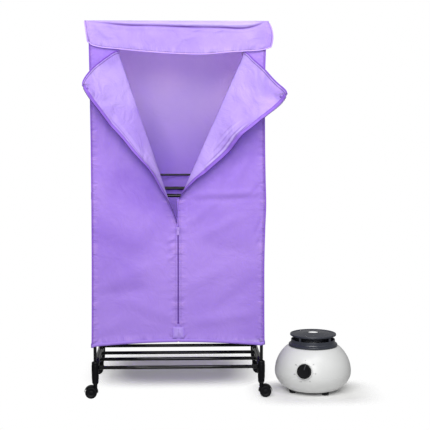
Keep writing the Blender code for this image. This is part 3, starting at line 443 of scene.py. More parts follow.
@dataclass(frozen=True)
class Cloth:
    """Thin woven nylon: soft tone waves, a fine weave, small creases, stitched seams, some light through."""
    name: str
    colour: Colour
    shade: Colour
    through: float = 0.35
    crease: float = 0.0016
    thread: float = 0.0009
    stitching: Weave = Weave.PLAIN
    rim: float = 0.0032
    rim_share: float = 0.35
    stitch_shade_share: float = 0.1
    stitch_share: float = 0.35
    tone_scale: float = 2.3
    painted_low_shade: Colour | None = None
    low_shade_span: tuple[float, float] = (0.75, 1.4)
    roughness: float = 0.55
    sheen: float = 0.12
    sheen_tint: Colour = (0.86, 0.8, 1.0)
    stitch_from_edge: float = 0.0085
    stitch_length: float = 0.0034
    pucker: float = 0.008
    pucker_reach: float = 0.042
    pucker_shading: float = 0.3
    # Colour of the painted shade in creases and along the stitch hollows, and of the darker sewn rim.
    crease_shade: Colour = (0.15, 0.05, 0.43)
    # Pale colour that the trait pale mixes in: painted light on rolled and raised cloth, and the stop patch's
    # lighter middle.
    pale_tone: Colour = (0.8, 0.7, 1.0)

    def build(self) -> Material:
        """Builds the material.

        The colour drifts between the cloth's own and its shade by a broad cloud and a fine one, and with the
        height towards the painted low shade: painted shade, darker lower down. The weave is the product of
        two waves across the texture position, which is in metres.
        """
        graph = Graph(self.name)
        broad = graph.noise(self.tone_scale, 2.0, distortion=0.6)
        fine = graph.noise(46.0, 5.0, roughness=0.65)
        share = graph.sum("ADD", graph.span(broad, 0.32, 0.68, 0.0, 0.88),
                          graph.span(fine, 0.35, 0.65, 0.0, 0.12))
        colour = graph.mix(share, tint(self.colour), tint(self.shade))
        # Painted shade: the colour turns darker towards the bottom, by the height.
        if self.painted_low_shade is not None:
            height = graph.add("SeparateXYZ", {0: graph.where()}).outputs[2]
            colour = graph.mix(graph.span(height, *self.low_shade_span), tint(self.painted_low_shade), colour)
        spot, scale = graph.add("UVMap").outputs[0], math.pi / self.thread / 10.0
        warp, weft = (graph.add("TexWave", {"Vector": spot, "Scale": scale},
                                bands_direction=way).outputs["Fac"] for way in "XY")
        normal = graph.bump(graph.times(warp, weft), 0.12, 0.0002)
        crumple = graph.noise(11.0, 4.0, roughness=0.55, distortion=1.2)
        normal = graph.bump(crumple, 0.8, self.crease * 4, normal)
        normal = graph.bump(fine, 0.2, self.crease, normal)
        if self.stitching is Weave.STITCHED:
            colour, normal = self.sewn(graph, colour, normal)
        rough = graph.span(fine, 0.3, 0.7, self.roughness - 0.06, self.roughness + 0.06)
        face = graph.add("BsdfPrincipled", {
            "Base Color": colour, "Roughness": rough, "Normal": normal, "Specular IOR Level": 0.35,
            "Sheen Weight": self.sheen, "Sheen Roughness": 0.4,
            "Sheen Tint": tint(self.sheen_tint)}).outputs[0]
        if not self.through:
            return graph.finish(face)
        lit = graph.add("BsdfTranslucent", {"Color": colour, "Normal": normal}).outputs[0]
        return graph.finish(graph.add("MixShader", {0: self.through, 1: face, 2: lit}).outputs[0])

    def sewn(self, graph: Graph, colour: Socket, normal: Socket) -> tuple[Socket, Socket]:
        """Adds what sewing does to the cloth.

        A stitch is a dark dash where the trait seam, the distance from the sewn edge, is close to the
        stitch line. Puckers run square to the seam: a cloud stretched across it that dies away with the
        distance. Their valleys get painted shade and their ridges a painted highlight, the hollow along the
        stitch line gets painted shade, and the cloth is darker along its sewn rim. The trait shade paints
        shade into a deep crease. The trait pale lightens the cloth: painted light where it is rolled or
        raised towards the light and along the lower right of the front's hem, and a lighter middle on the
        stop patch.

        Args:
            graph: the material's nodes.
            colour: the plain cloth's colour.
            normal: the plain cloth's normal.

        Returns:
            The colour and the normal.
        """
        seam, run, deep = graph.trait("seam"), graph.trait("run"), tint(self.crease_shade)
        off = graph.sum("ABSOLUTE", graph.sum("SUBTRACT", seam, self.stitch_from_edge))
        line = graph.span(off, 0.0005, 0.0011, 1.0, 0.0)
        # Painted shade along the hollow of the stitch line.
        hollow = graph.span(off, 0.0006, 0.003, 1.0, 0.0)
        stitches = graph.sum("DIVIDE", run, self.stitch_length)
        dash = graph.sum("GREATER_THAN", graph.sum("FRACT", stitches), 0.3)
        across = graph.add("CombineXYZ", {0: graph.times(seam, 15.0), 1: graph.times(run, 40.0)}).outputs[0]
        ripple = graph.noise(1.0, 3.0, across, 0.6, 0.8)
        near = graph.span(seam, 0.003, self.pucker_reach, 1.0, 0.0)
        # Painted shade in the puckers' valleys and a painted highlight on their ridges.
        valley = graph.times(near, graph.span(ripple, 0.36, 0.5, self.pucker_shading, 0.0))
        ridge = graph.times(near, graph.span(ripple, 0.5, 0.66, 0.0, self.pucker_shading))
        bound = graph.span(seam, self.rim * 0.6, self.rim * 1.4, self.rim_share, 0.0)
        for share, tone in (
                (graph.times(graph.trait("pale"), 0.8), tint(self.pale_tone)),
                (valley, tint(self.shade, 0.7)),
                (ridge, tint(self.colour, 1.35)),
                (graph.times(hollow, self.stitch_shade_share), deep),
                (bound, deep),
                (graph.times(graph.times(line, dash), self.stitch_share), tint(self.shade, 0.4)),
                (graph.times(graph.trait("shade"), 0.85), deep)):
            colour = graph.mix(share, colour, tone)
        normal = graph.bump(graph.times(ripple, near), 0.9, self.pucker, normal)
        fold = graph.span(seam, 0.0, self.stitch_from_edge + 0.004, 1.0, 0.0)
        return colour, graph.bump(graph.sum("SUBTRACT", fold, line), 0.6, 0.0012, normal)


@dataclass(frozen=True)
class Plastic:
    """Moulded plastic or enamel: a little drift in its gloss, fine grain, and paler worn edges."""
    name: str
    colour: Colour
    roughness: float = 0.35
    grain: float = 0.00004
    grain_scale: float = 900.0
    wear: float = 0.25
    coat: float = 0.0
    haze: float = 0.06
    drift: float = 0.07
    specular: float = 0.5

    def build(self) -> Material:
        """Builds the material.

        The wear is where Pointiness says that an edge stands out, broken up by a cloud. Roughness drifts by
        a broad cloud, as handling leaves it.
        """
        graph = Graph(self.name)
        cloud, scuff = graph.noise(18.0, 4.0), graph.noise(140.0, 5.0, roughness=0.7)
        edge = graph.span(graph.add("NewGeometry").outputs["Pointiness"], 0.52, 0.6)
        worn = graph.times(graph.times(edge, graph.span(scuff, 0.4, 0.65)), self.wear)
        drift = graph.mix(graph.span(cloud, 0.35, 0.65), tint(self.colour, 1 - self.drift),
                          tint(self.colour, 1 + self.drift))
        paler = tuple(c + (0.35 - c) * 0.4 if c < 0.35 else c * 0.9 for c in self.colour)
        gloss = graph.span(cloud, 0.3, 0.7, self.roughness - self.haze, self.roughness + self.haze)
        shader = graph.add("BsdfPrincipled", {
            "Base Color": graph.mix(worn, drift, tint(paler)), "Specular IOR Level": self.specular,
            "Roughness": graph.sum("ADD", gloss, graph.times(worn, 0.3)),
            "Normal": graph.bump(graph.noise(self.grain_scale, 2.0), 0.3, self.grain),
            "Coat Weight": self.coat, "Coat Roughness": 0.12})
        return graph.finish(shader.outputs[0])


@dataclass(frozen=True)
class Metal:
    """Drawn or stamped metal with fine lines along one axis and slight tarnish."""
    name: str
    colour: Colour
    roughness: float = 0.28
    lines: float = 700.0

    def build(self) -> Material:
        """Builds the material: a stretched cloud for the drawing lines and a round one for the tarnish."""
        graph = Graph(self.name)
        stretch = graph.add("Mapping", {"Vector": graph.where(), "Scale": (1.0, 1.0, 0.05)}).outputs[0]
        tarnish = graph.noise(60.0, 4.0)
        shader = graph.add("BsdfPrincipled", {
            "Base Color": graph.mix(graph.span(tarnish, 0.4, 0.7), tint(self.colour),
                                    tint(self.colour, 0.72)),
            "Roughness": graph.span(tarnish, 0.3, 0.7, self.roughness - 0.05, self.roughness + 0.12),
            "Normal": graph.bump(graph.noise(self.lines, 2.0, stretch), 0.25, 0.00005), "Metallic": 1.0})
        return graph.finish(shader.outputs[0])


class Finishes:
    """Every material of the dryer, each built once."""

    def __init__(self) -> None:
        """Builds them all."""
        violet, deep = (0.575, 0.36, 0.98), (0.39, 0.212, 0.85)
        pale, pale_deep = (0.645, 0.47, 0.96), (0.52, 0.35, 0.88)
        sewn = Weave.STITCHED
        # The walls' low shade is painted shade that darkens them towards the hem.
        self.cloth = Cloth("violet_nylon", violet, deep, crease=0.0011, stitching=sewn, stitch_shade_share=0.04,
                           stitch_share=0.15, painted_low_shade=(0.39, 0.235, 0.8), low_shade_span=(-0.5, 1.3)).build()
        self.lining = Cloth("violet_lining", pale, pale_deep, crease=0.0036, stitching=sewn, rim=0.0042,
                            rim_share=0.8, stitch_shade_share=0.55, stitch_share=0.6, tone_scale=5.0).build()
        self.flap = Cloth("valance_nylon", pale, pale_deep, crease=0.0026, stitching=sewn,
                          tone_scale=4.0).build()
        # The inner face is painted near white up high and turns to a violet low shade below: painted light at
        # the top of the interior, painted shade lower down.
        self.inside = Cloth("violet_inner_face", (0.95, 0.91, 0.86), (0.86, 0.82, 0.82), through=0.5,
                            painted_low_shade=(0.42, 0.29, 0.66), low_shade_span=(0.85, 1.42)).build()
        self.roof = Cloth("violet_roof", violet, deep, through=0.55, crease=0.0015, stitching=sewn).build()
        self.binding = Cloth("violet_binding", (0.262, 0.102, 0.679), (0.22, 0.08, 0.58), 0.0, 0.0006,
                             0.0006).build()
        self.pale_binding = Cloth("pale_binding", (0.6, 0.42, 0.98), (0.52, 0.34, 0.95), 0.0, 0.0006,
                                  0.0006).build()
        self.tape = Cloth("zip_tape", (0.29, 0.15, 0.66), (0.22, 0.1, 0.55), 0.0, 0.0004, 0.0005).build()
        self.coil = Plastic("zip_coil", (0.1, 0.03, 0.3), 0.4, wear=0.1, specular=0.15).build()
        self.slider = Plastic("violet_lacquer", (0.36, 0.22, 0.66), 0.3, wear=0.3).build()
        self.tube = Plastic("black_enamelled_tube", (0.0025, 0.0025, 0.0035), 0.11, 0.00002, 500.0, 0.12,
                            specular=0.26).build()
        self.joint = Plastic("black_plastic", (0.002, 0.002, 0.003), 0.45, 0.00008, 700.0, 0.12,
                             specular=0.13).build()
        self.tread = Plastic("caster_tread", (0.003, 0.003, 0.004), 0.5, 0.0001, 500.0, 0.15,
                             specular=0.13).build()
        self.metal = Metal("bright_metal", (0.72, 0.72, 0.74)).build()
        self.white = Plastic("white_gloss_plastic", (0.62, 0.625, 0.62), 0.34, 0.00002, 400.0, wear=0.0,
                             coat=0.05, haze=0.02, drift=0.006).build()
        self.charcoal = Plastic("charcoal_gloss_plastic", (0.03, 0.033, 0.045), 0.28, 0.00003, 600.0,
                                0.2).build()
        self.pointer = Plastic("pointer_print", (0.06, 0.06, 0.065), 0.4, 0.00002, wear=0.0,
                               specular=0.2).build()
        self.knob = Plastic("knob_plastic", (0.004, 0.004, 0.005), 0.48, 0.00012, 800.0, 0.1,
                            specular=0.08).build()
        self.ink = Plastic("dial_ink", (0.16, 0.16, 0.17), 0.5, 0.00002, wear=0.0).build()
        self.motor = Metal("motor_metal", (0.42, 0.42, 0.44), 0.4).build()
        self.heater = Metal("heater_alloy", (0.55, 0.5, 0.44), 0.35).build()


@dataclass
class Studio:
    """Camera, lights, world and floor. A shadow spot is a centre, two half widths and how solid it is."""
    camera_at: Spot = (-0.1819, -4.7393, 1.1704)
    camera_down: float = 5.288
    camera_right: float = 2.06
    lens: float = 95.63
    sensor: float = 36.0
    floor_reach: float = 9.0
    # The floor's grey at the shadow spots: painted shade, darker than the white around it.
    floor_low: Colour = (0.78, 0.78, 0.77)
    floor_high: Colour = (0.81, 0.81, 0.8)
    shadow_spots: tuple[Row, ...] = ((-0.166, 0.34, 0.44, 0.38, 1.00), (0.396, -0.1, 0.3, 0.24, 0.95))
    floor_fade: tuple[float, float] = (0.45, 1.0)
    sky: float = 0.3

    def build(self) -> None:
        """Sets up the whole studio."""
        self.camera()
        self.world()
        self.floor()
        self.lamp("front", (-0.5, -5.0, 2.7), (0.0, 0.0, 0.8), (2.4, 1.6), 124.0)
        self.lamp("low", (0.1, -5.0, 1.0), (0.1, 0.0, 0.8), (2.4, 0.8), 46.0)
        self.lamp("key", (-1.4, -3.2, 3.7), (0.0, 0.0, 0.6), (1.6, 1.2), 66.0)
        self.lamp("fill", (3.0, -2.6, 2.2), (0.1, 0.0, 0.6), (2.4, 2.0), 12.0)
        self.lamp("top", (0.8, -2.6, 3.6), (0.1, 0.0, 0.3), (1.8, 1.2), 42.0)
        self.lamp("back", (-0.15, 2.6, 1.42), (-0.15, 0.45, 1.4), (2.0, 1.2), 23.0, mirrored=False,
                  spread=60.0)
        bpy.context.scene.view_settings.view_transform = "Standard"

    def camera(self) -> None:
        """Makes the camera of the photograph's frame."""
        data = bpy.data.cameras.new("camera")
        data.lens, data.sensor_width, data.sensor_fit = self.lens, self.sensor, "HORIZONTAL"
        made = link("camera", data)
        made.location = self.camera_at
        made.rotation_euler = (math.radians(90.0 - self.camera_down), 0.0, -math.radians(self.camera_right))
        bpy.context.scene.camera = made

    def world(self) -> None:
        """A soft white sky. It is plain white where the camera sees it."""
        world = bpy.context.scene.world = bpy.data.worlds.new("soft_sky")
        world.use_nodes = True
        tree = world.node_tree
        tree.nodes.clear()
        rays, mix, output = (tree.nodes.new(f"Shader{kind}") for kind in (
            "NodeLightPath", "NodeMixShader", "NodeOutputWorld"))
        tree.links.new(rays.outputs["Is Camera Ray"], mix.inputs[0])
        for place, strength in ((1, self.sky), (2, 1.0)):
            sky = tree.nodes.new("ShaderNodeBackground")
            sky.inputs["Color"].default_value = (1.0, 1.0, 1.0, 1.0)
            sky.inputs["Strength"].default_value = strength
            tree.links.new(sky.outputs[0], mix.inputs[place])
        tree.links.new(mix.outputs[0], output.inputs[0])

    def lamp(self, name: str, at: Spot, aim: Spot, size: tuple[float, float], watts: float,
             mirrored: bool = True, spread: float = 180.0) -> None:
        """An area lamp that looks at a point. It may be kept out of reflections and its beam narrowed."""
        data = bpy.data.lights.new(name, "AREA")
        data.spread = math.radians(spread)
        data.shape, data.size, data.size_y, data.energy = "RECTANGLE", *size, watts
        made = link(name, data)
        made.location, made.visible_glossy = at, mirrored
        made.rotation_euler = (Vector(aim) - Vector(at)).to_track_quat("-Z", "Y").to_euler()

    def floor(self) -> None:
        """A pale grey floor that keeps the lamps' shadows behind the cabinet and round the blower. It is
        solid only at the shadow spots, so its grey there is painted shade that deepens those shadows.

        It melts into the white. The distance from a spot is the fourth root of the summed fourth powers of
        the two shares of its half widths.
        """
        graph = Graph("pale_floor")
        spot = graph.add("SeparateXYZ", {0: graph.where()})
        solid: object = 0.0
        for x_at, y_at, half_x, half_y, share in self.shadow_spots:
            powers = []
            for at, middle, half in ((spot.outputs[0], x_at, half_x), (spot.outputs[1], y_at, half_y)):
                reach = graph.sum("ABSOLUTE", graph.sum("DIVIDE", graph.sum("SUBTRACT", at, middle), half))
                powers.append(graph.sum("POWER", reach, 4.0))
            away = graph.sum("POWER", graph.sum("ADD", *powers), 0.25)
            solid = graph.sum("MAXIMUM", solid, graph.span(away, *self.floor_fade, share, 0.0))
        colour = graph.mix(graph.noise(3.0, 2.0), tint(self.floor_low), tint(self.floor_high))
        plain = graph.add("BsdfPrincipled", {"Base Color": colour, "Roughness": 0.9}).outputs[0]
        clear = graph.add("BsdfTransparent").outputs[0]
        shader = graph.add("MixShader", {0: solid, 1: clear, 2: plain}).outputs[0]
        x, y = np.meshgrid(*[np.linspace(-self.floor_reach, self.floor_reach, 9)] * 2)
        Surface().grid(stack(x, y, 0.0)).object(
            "floor", Place(np.zeros(3)), graph.finish(shader))


@dataclass
class Part:
    """A sub-assembly: where it stands and the finishes that it is dressed in."""
    place: Place
    finishes: Finishes

    def piece(self, name: str, points: Array, finish: Material, body: str, slot: str, *nodes: str,
              spots: Array | None = None, flip: bool = False, place: Place | None = None,
              sharp: float | None = None, **traits: Array | float) -> Object:
        """Makes one grid of points into a piece.

        Args:
            name: the piece's name.
            points: rows x columns x 3, in the sub-assembly's sizes.
            finish: the material.
            body: the body it rides on.
            slot: the record's material slot; not used.
            nodes: CAD nodes it stands for.
            spots: texture positions, or none for the shares along the grid.
            flip: turns the faces round.
            place: where the points stand, or none for the sub-assembly's own place.
            sharp: the angle past which an edge stays sharp, or none for smooth all over.
            traits: further numbers for every point, by name.

        Returns:
            The piece.
        """
        made = Surface().grid(points, spots, flip, **traits).object(name, place or self.place, finish, sharp)
        return settle(made, body, slot, *nodes)


class Fold(NamedTuple):
    """One soft ridge or valley: its middle, half its length as a direction, its width and its height."""
    x: float
    z: float
    run_x: float
    run_z: float
    width: float
    height: float


def folds(*rows: Row) -> tuple[Fold, ...]:
    """Rows of plain numbers read as folds."""
    return tuple(Fold(*row) for row in rows)


def fold_height(ridges: Sequence[Fold], x: Array, z: Array) -> Array:
    """How far the folds push the cloth out: the height times two bell curves, across and along each fold."""
    data = np.array(ridges).T[:, :, None, None]
    length = np.hypot(data[2], data[3])
    ux, uz = data[2] / length, data[3] / length
    dx, dz = x[None] - data[0], z[None] - data[1]
    along, across = (dx * ux + dz * uz) / length, (dz * ux - dx * uz) / data[4]
    return (data[5] * np.exp(-across ** 2 - along ** 4)).sum(axis=0)


@dataclass
class Door:
    """One half of the front door: the crease it folds along, and how the open lapel lies.

    The crease runs from the foot on the middle line out to top_x at the head. In the lapel's own plane a
    point is given by its distance along the crease and its distance square to it. Roll, bow and trim are
    smooth lines as knots and values: the open angle up the crease, how far the head rises across the lapel,
    and what is trimmed off the free edge up the lapel.
    """
    side: Side
    foot_z: float
    top_x: float
    head_z: float
    roll: tuple[Row, Row]
    bow: tuple[Row, Row]
    trim: tuple[Row, Row]
    waves: tuple[Row, ...]
    wrinkles: tuple[Fold, ...]
    painted_gathers: tuple[Row, ...]
    foot_share: float = 0.03
    edge_gap: float = 0.0012
    standoff: float = 0.0012
    roll_start: float = 62.0
    roll_radius: float = 0.0042
    fold_deg: float = 153.0
    closed_standoff: float = 0.0003
    painted_gather_width: float = 0.0022

    def __post_init__(self) -> None:
        """Works out the crease: its rise, length, foot and direction, and the way out from the door."""
        s = self.side.value
        self.body = f"lapel_{self.side.word}"
        self.rise = self.head_z - self.foot_z
        self.length = math.hypot(self.top_x, self.rise)
        self.foot = np.array((s * self.edge_gap, 0.0, self.foot_z))
        self.crease = unit((s * self.top_x, 0.0, self.rise))
        self.outward = unit((s * self.rise, 0.0, -self.top_x))

    def crease_x(self, z: Array) -> Array:
        """Distance of the crease from the middle line: a straight line from foot to head."""
        return np.clip((z - self.foot_z) / self.rise, 0.0, 1.0) * self.top_x

    def closed_plane(self) -> tuple[Array, Array]:
        """The plane of the lapel's nominal angle, which comes to lie on the front when the door is closed.

        Returns:
            Its normal and a point on it, while the lapel is open.
        """
        angle = math.radians(self.fold_deg)
        normal = math.sin(angle) * self.outward + np.array((0.0, -math.cos(angle), 0.0))
        return normal, self.foot + normal * self.closed_standoff

    def painted_gather_traits(self, up: Array, from_edge: Array) -> tuple[Array, Array]:
        """Traits shade and pale of the gathers beside the zip.

        Each gather is a bell curve about a distance from the edge that fades at its lower and upper end.
        One of positive strength is a valley of painted shade, one of negative strength a ridge of painted
        light.
        """
        shade, pale = 0 * up, 0 * up
        for away, start, end, strength in self.painted_gathers:
            line = bell(from_edge, away + 0.0025 * np.sin(9 * up + 60 * away), self.painted_gather_width)
            line = line * ease(up, start, start + 0.1) * (1 - ease(up, end - 0.1, end)) * abs(strength)
            shade, pale = (shade + line, pale) if strength > 0 else (shade, pale + line)
        return shade, pale

    def flat(self, up: Array, across: Array) -> tuple[Array, Array]:
        """Flat pattern of the lapel: distances along and square to the crease.

        At height share up the cloth runs from the crease to the zip edge as across goes from 0 to 1. The
        head bows up, and the zip edge is trimmed near the rounded tip.
        """
        reach = 1.0 - smooth_line(up, *self.trim) / np.maximum(up * self.top_x, 1e-4)
        x = up * self.top_x * (1 - across * np.clip(reach, 0.2, 1.0))
        z = up * self.rise + smooth_line(across, *self.bow) * up ** 5
        return (x * self.top_x + z * self.rise) / self.length, (z * self.top_x - x * self.rise) / self.length

    def lift(self, along: Array, off: Array, raised: float | Array = 0.0) -> Array:
        """Where a point of the flat pattern stands while the lapel is open.

        The cloth leaves the crease at a steep angle and turns back over a small radius to the open angle,
        which grows from foot to head. The place is the sum of short steps in the direction at each
        distance, and waves along the crease tilt it more towards the free edge. raised is a distance off
        the seen face, to which the wrinkles add.
        """
        share = along / (self.rise ** 2 / self.length)
        final = np.radians(smooth_line(share, *self.roll))
        for count, size, shift in self.waves:
            wave = math.radians(size) * np.sin(FULL_TURN * (count * share + shift))
            final = final + wave * ease(off, 0.01, 0.12)

        def angle(end: Array, distance: Array) -> Array:
            """The cloth's angle at a distance from the crease: an exponential approach to its end."""
            return end - (end - math.radians(self.roll_start)) * np.exp(-distance / self.roll_radius)

        turn = angle(final[..., None], off[..., None] * ((np.arange(32) + 0.5) / 32))
        raised = raised + fold_height(self.wrinkles, *np.atleast_2d(off, along)).reshape(off.shape)
        last = angle(final, off)
        out = -np.cos(turn).mean(axis=-1) * off - np.sin(last) * raised
        forward = np.sin(turn).mean(axis=-1) * off + self.standoff - np.cos(last) * raised
        return (self.foot + along[..., None] * self.crease + out[..., None] * self.outward
                + forward[..., None] * np.array((0.0, -1.0, 0.0)))


class Wrap(NamedTuple):
    """The cover's wall: points, texture positions in metres, distance from the nearest sewn edge, run along
    it, outward directions, and the column at which each of its nine stretches starts."""
    points: Array
    spots: Array
    seam: Array
    run: Array
    outward: Array
    starts: Array


@dataclass
class Cover(Part):
    """The sewn cover: one wrap of cloth round the frame with its two door edges, a roof, a head strip,
    two open lapels and a valance."""
    half_width: float = 0.35
    depth: float = 0.457
    top_z: float = 1.5165
    cloth: float = 0.001
    corner_r: float = 0.01
    hem_z: float = 0.214
    hem_bow: float = 0.018
    hem_height: float = 0.013
    hem_wall: float = 0.0012
    hem_off: float = 0.0007
    hem_drop: float = 0.0005
    door_head_z: float = 1.386
    slit_top_z: float = 0.7
    slit_half: float = 0.003
    door_gap: float = 0.0012
    piping_r: float = 0.0019
    binding_r: float = 0.0017
    zip_width: float = 0.0125
    zip_top_share: float = 0.985
    coil_turns: int = 300
    edge_levels: Row = (0.212, 0.4, 0.568, 0.7, 0.785, 0.89, 1.02, 1.16, 1.33, 1.43, 1.52)
    left_reach: Row = (0.352, 0.3495, 0.348, 0.3472, 0.3468, 0.3468, 0.3472, 0.3482, 0.3498, 0.3512, 0.3505)
    right_reach: Row = (0.3505, 0.3488, 0.3485, 0.3515, 0.3545, 0.352, 0.3495, 0.3484, 0.3492, 0.3515, 0.3505)
    side_swell: float = 0.006
    back_swell: float = 0.005
    front_swell: float = 0.004
    hem_sway: float = 0.004
    back_waves: tuple[Row, ...] = ((0.003, 17, 3, 0), (0.0014, 41, -4, 0))
    front_waves: tuple[Row, ...] = ((0.0016, 9, 6.5, 0), (0.0012, 17, -11, 1))
    roof_waves: tuple[Row, ...] = ((0.0012, 19, 9, 0),)
    door_tuck: float = 0.0009
    strip_back: float = 0.0028
    strip_overlap: float = 0.012
    tape_wall: float = 0.0009
    deepest: float = -0.0035
    roof_sag: float = 0.006

    def __post_init__(self) -> None:
        """Sets out the two doors and the folds of the front."""
        left = Door(
            Side.LEFT, 0.7, 0.228, self.door_head_z,
            roll=((0.0, 0.14, 0.19, 0.25, 0.35, 0.555, 0.705, 0.81, 0.9, 1.0, 1.3),
                  (90.0, 93.0, 100.0, 109.0, 114.0, 131.0, 140.0, 143.0, 148.0, 151.0, 153.0)),
            bow=((0.0, 0.05, 0.2, 0.4, 0.575, 0.75, 0.858, 0.95, 1.0),
                 (0.014, 0.02, 0.024, 0.025, 0.024, 0.018, 0.012, 0.003, -0.007)),
            trim=((0.0, 0.9, 0.96, 1.0), (0.0, 0.0, 0.002, 0.009)),
            waves=((1.6, 2.0, 0.1), (3.4, 1.2, 0.55)),
            wrinkles=folds(
                (0.15, 0.6, 0.05, 0.02, 0.012, 0.003), (0.12, 0.5, 0.04, -0.04, 0.014, -0.003),
                (0.17, 0.52, 0.02, 0.05, 0.01, 0.003), (0.09, 0.38, 0.02, 0.06, 0.012, 0.003),
                (0.11, 0.33, 0.02, 0.05, 0.01, -0.0025), (0.05, 0.2, 0.015, 0.05, 0.008, 0.0025),
                (0.185, 0.615, 0.012, 0.02, 0.007, 0.0025), (0.07, 0.62, 0.05, 0.01, 0.01, 0.002)),
            painted_gathers=((0.02, 0.16, 0.8, 0.45), (0.034, 0.4, 0.75, -0.3)))
        right = Door(
            Side.RIGHT, 0.8, 0.259, self.door_head_z,
            roll=((0.0, 0.06, 0.19, 0.3, 0.4, 0.55, 0.7, 0.83, 0.93, 1.0, 1.3),
                  (92.0, 102.0, 128.0, 144.0, 150.0, 149.0, 147.0, 152.0, 154.0, 155.0, 153.0)),
            bow=((0.0, 0.047, 0.185, 0.435, 0.659, 0.78, 0.9, 0.95, 1.0),
                 (0.014, 0.018, 0.02, 0.027, 0.028, 0.03, 0.034, 0.034, 0.028)),
            trim=((0.0, 0.9, 0.96, 1.0), (0.0, 0.0, 0.001, 0.004)),
            waves=((2.1, 2.4, 0.35), (4.3, 1.5, 0.1)),
            wrinkles=folds(
                (0.17, 0.5, 0.05, 0.01, 0.01, 0.0038), (0.15, 0.465, 0.06, -0.02, 0.011, -0.003),
                (0.19, 0.44, 0.03, -0.03, 0.009, 0.0035), (0.16, 0.4, 0.04, 0.03, 0.01, 0.003),
                (0.125, 0.335, 0.03, 0.03, 0.009, 0.0042), (0.145, 0.3, 0.02, 0.035, 0.008, -0.0032),
                (0.1, 0.29, 0.03, 0.015, 0.008, 0.003), (0.06, 0.125, 0.03, 0.02, 0.008, 0.003),
                (0.05, 0.165, 0.03, -0.02, 0.008, -0.0025), (0.08, 0.5, 0.05, 0.03, 0.012, 0.0024),
                (0.215, 0.515, 0.014, 0.016, 0.006, 0.0028), (0.2, 0.53, 0.012, -0.016, 0.006, -0.0024)),
            painted_gathers=((0.015, 0.22, 0.76, 0.8), (0.021, 0.26, 0.74, -0.7), (0.027, 0.3, 0.72, 0.6),
                     (0.043, 0.36, 0.66, 0.3), (0.05, 0.44, 0.74, -0.35), (0.06, 0.48, 0.7, 0.35)))
        self.doors = {door.side: door for door in (left, right)}
        heights, swing = np.linspace(0.69, 0.33, 26), np.sin(np.arange(26) * 2.4)
        self.front_folds = folds(
            (0.2, 0.835, 0.12, 0.004, 0.012, 0.0035), (0.19, 0.812, 0.13, 0.006, 0.011, -0.003),
            (0.1, 0.76, 0.07, 0.06, 0.016, 0.003), (0.17, 0.7, 0.1, 0.05, 0.022, 0.0032),
            (0.22, 0.61, 0.11, -0.02, 0.03, -0.003), (0.12, 0.5, 0.1, 0.05, 0.03, 0.0035),
            (0.24, 0.43, 0.09, 0.07, 0.028, -0.0032), (0.18, 0.33, 0.14, 0.02, 0.024, 0.004),
            (0.27, 0.96, 0.05, 0.1, 0.022, 0.003), (0.22, 0.93, 0.05, 0.1, 0.016, -0.0024),
            (0.31, 0.85, 0.02, 0.02, 0.008, -0.003), (0.322, 0.7, 0.012, 0.03, 0.007, -0.0028),
            (0.325, 0.64, 0.01, 0.02, 0.006, -0.0026), (0.3, 1.28, 0.015, 0.07, 0.014, -0.003),
            (-0.31, 1.33, 0.012, 0.05, 0.008, 0.0035), (-0.325, 1.29, 0.012, 0.06, 0.009, -0.003),
            (-0.29, 1.11, 0.01, 0.1, 0.01, 0.0026), (-0.265, 1.08, 0.012, 0.12, 0.01, -0.0024),
            (-0.235, 1.02, 0.015, 0.12, 0.012, 0.0024), (-0.25, 0.86, 0.06, 0.05, 0.04, -0.003),
            (-0.12, 0.7, 0.08, 0.09, 0.03, 0.003), (-0.24, 0.62, 0.09, -0.03, 0.034, -0.003),
            (-0.16, 0.52, 0.12, 0.05, 0.03, 0.0036), (-0.22, 0.44, 0.12, 0.02, 0.026, -0.0032),
            (-0.12, 0.37, 0.1, -0.04, 0.026, 0.0032), (-0.26, 0.3, 0.06, 0.03, 0.024, 0.0026),
            *((-0.026, z, 0.018, 0.01, 0.0065, 0.0048) for z in (0.65, 0.618, 0.58)),
            *((-0.02 - 0.003 * w, z, 0.016 + 0.004 * w, 0.005, 0.0038, 0.0013 + 0.0005 * w)
              for z, w in zip(heights, swing)),
            *((0.018 + 0.003 * w, z + 0.006, 0.012 + 0.003 * w, -0.004, 0.0034, 0.0011 + 0.0005 * w)
              for z, w in zip(heights, swing[::-1])),
            *((0.035, z, 0.022, 0.016, 0.005, 0.0018) for z in (0.81, 0.79, 0.765, 0.745, 0.72)))

    def reach(self, side: Side, z: Array) -> Array:
        """Half the cover's width on one side at a height, drawn in at mid height as the photograph shows."""
        return smooth_line(z, self.edge_levels, self.left_reach if side is Side.LEFT else self.right_reach)

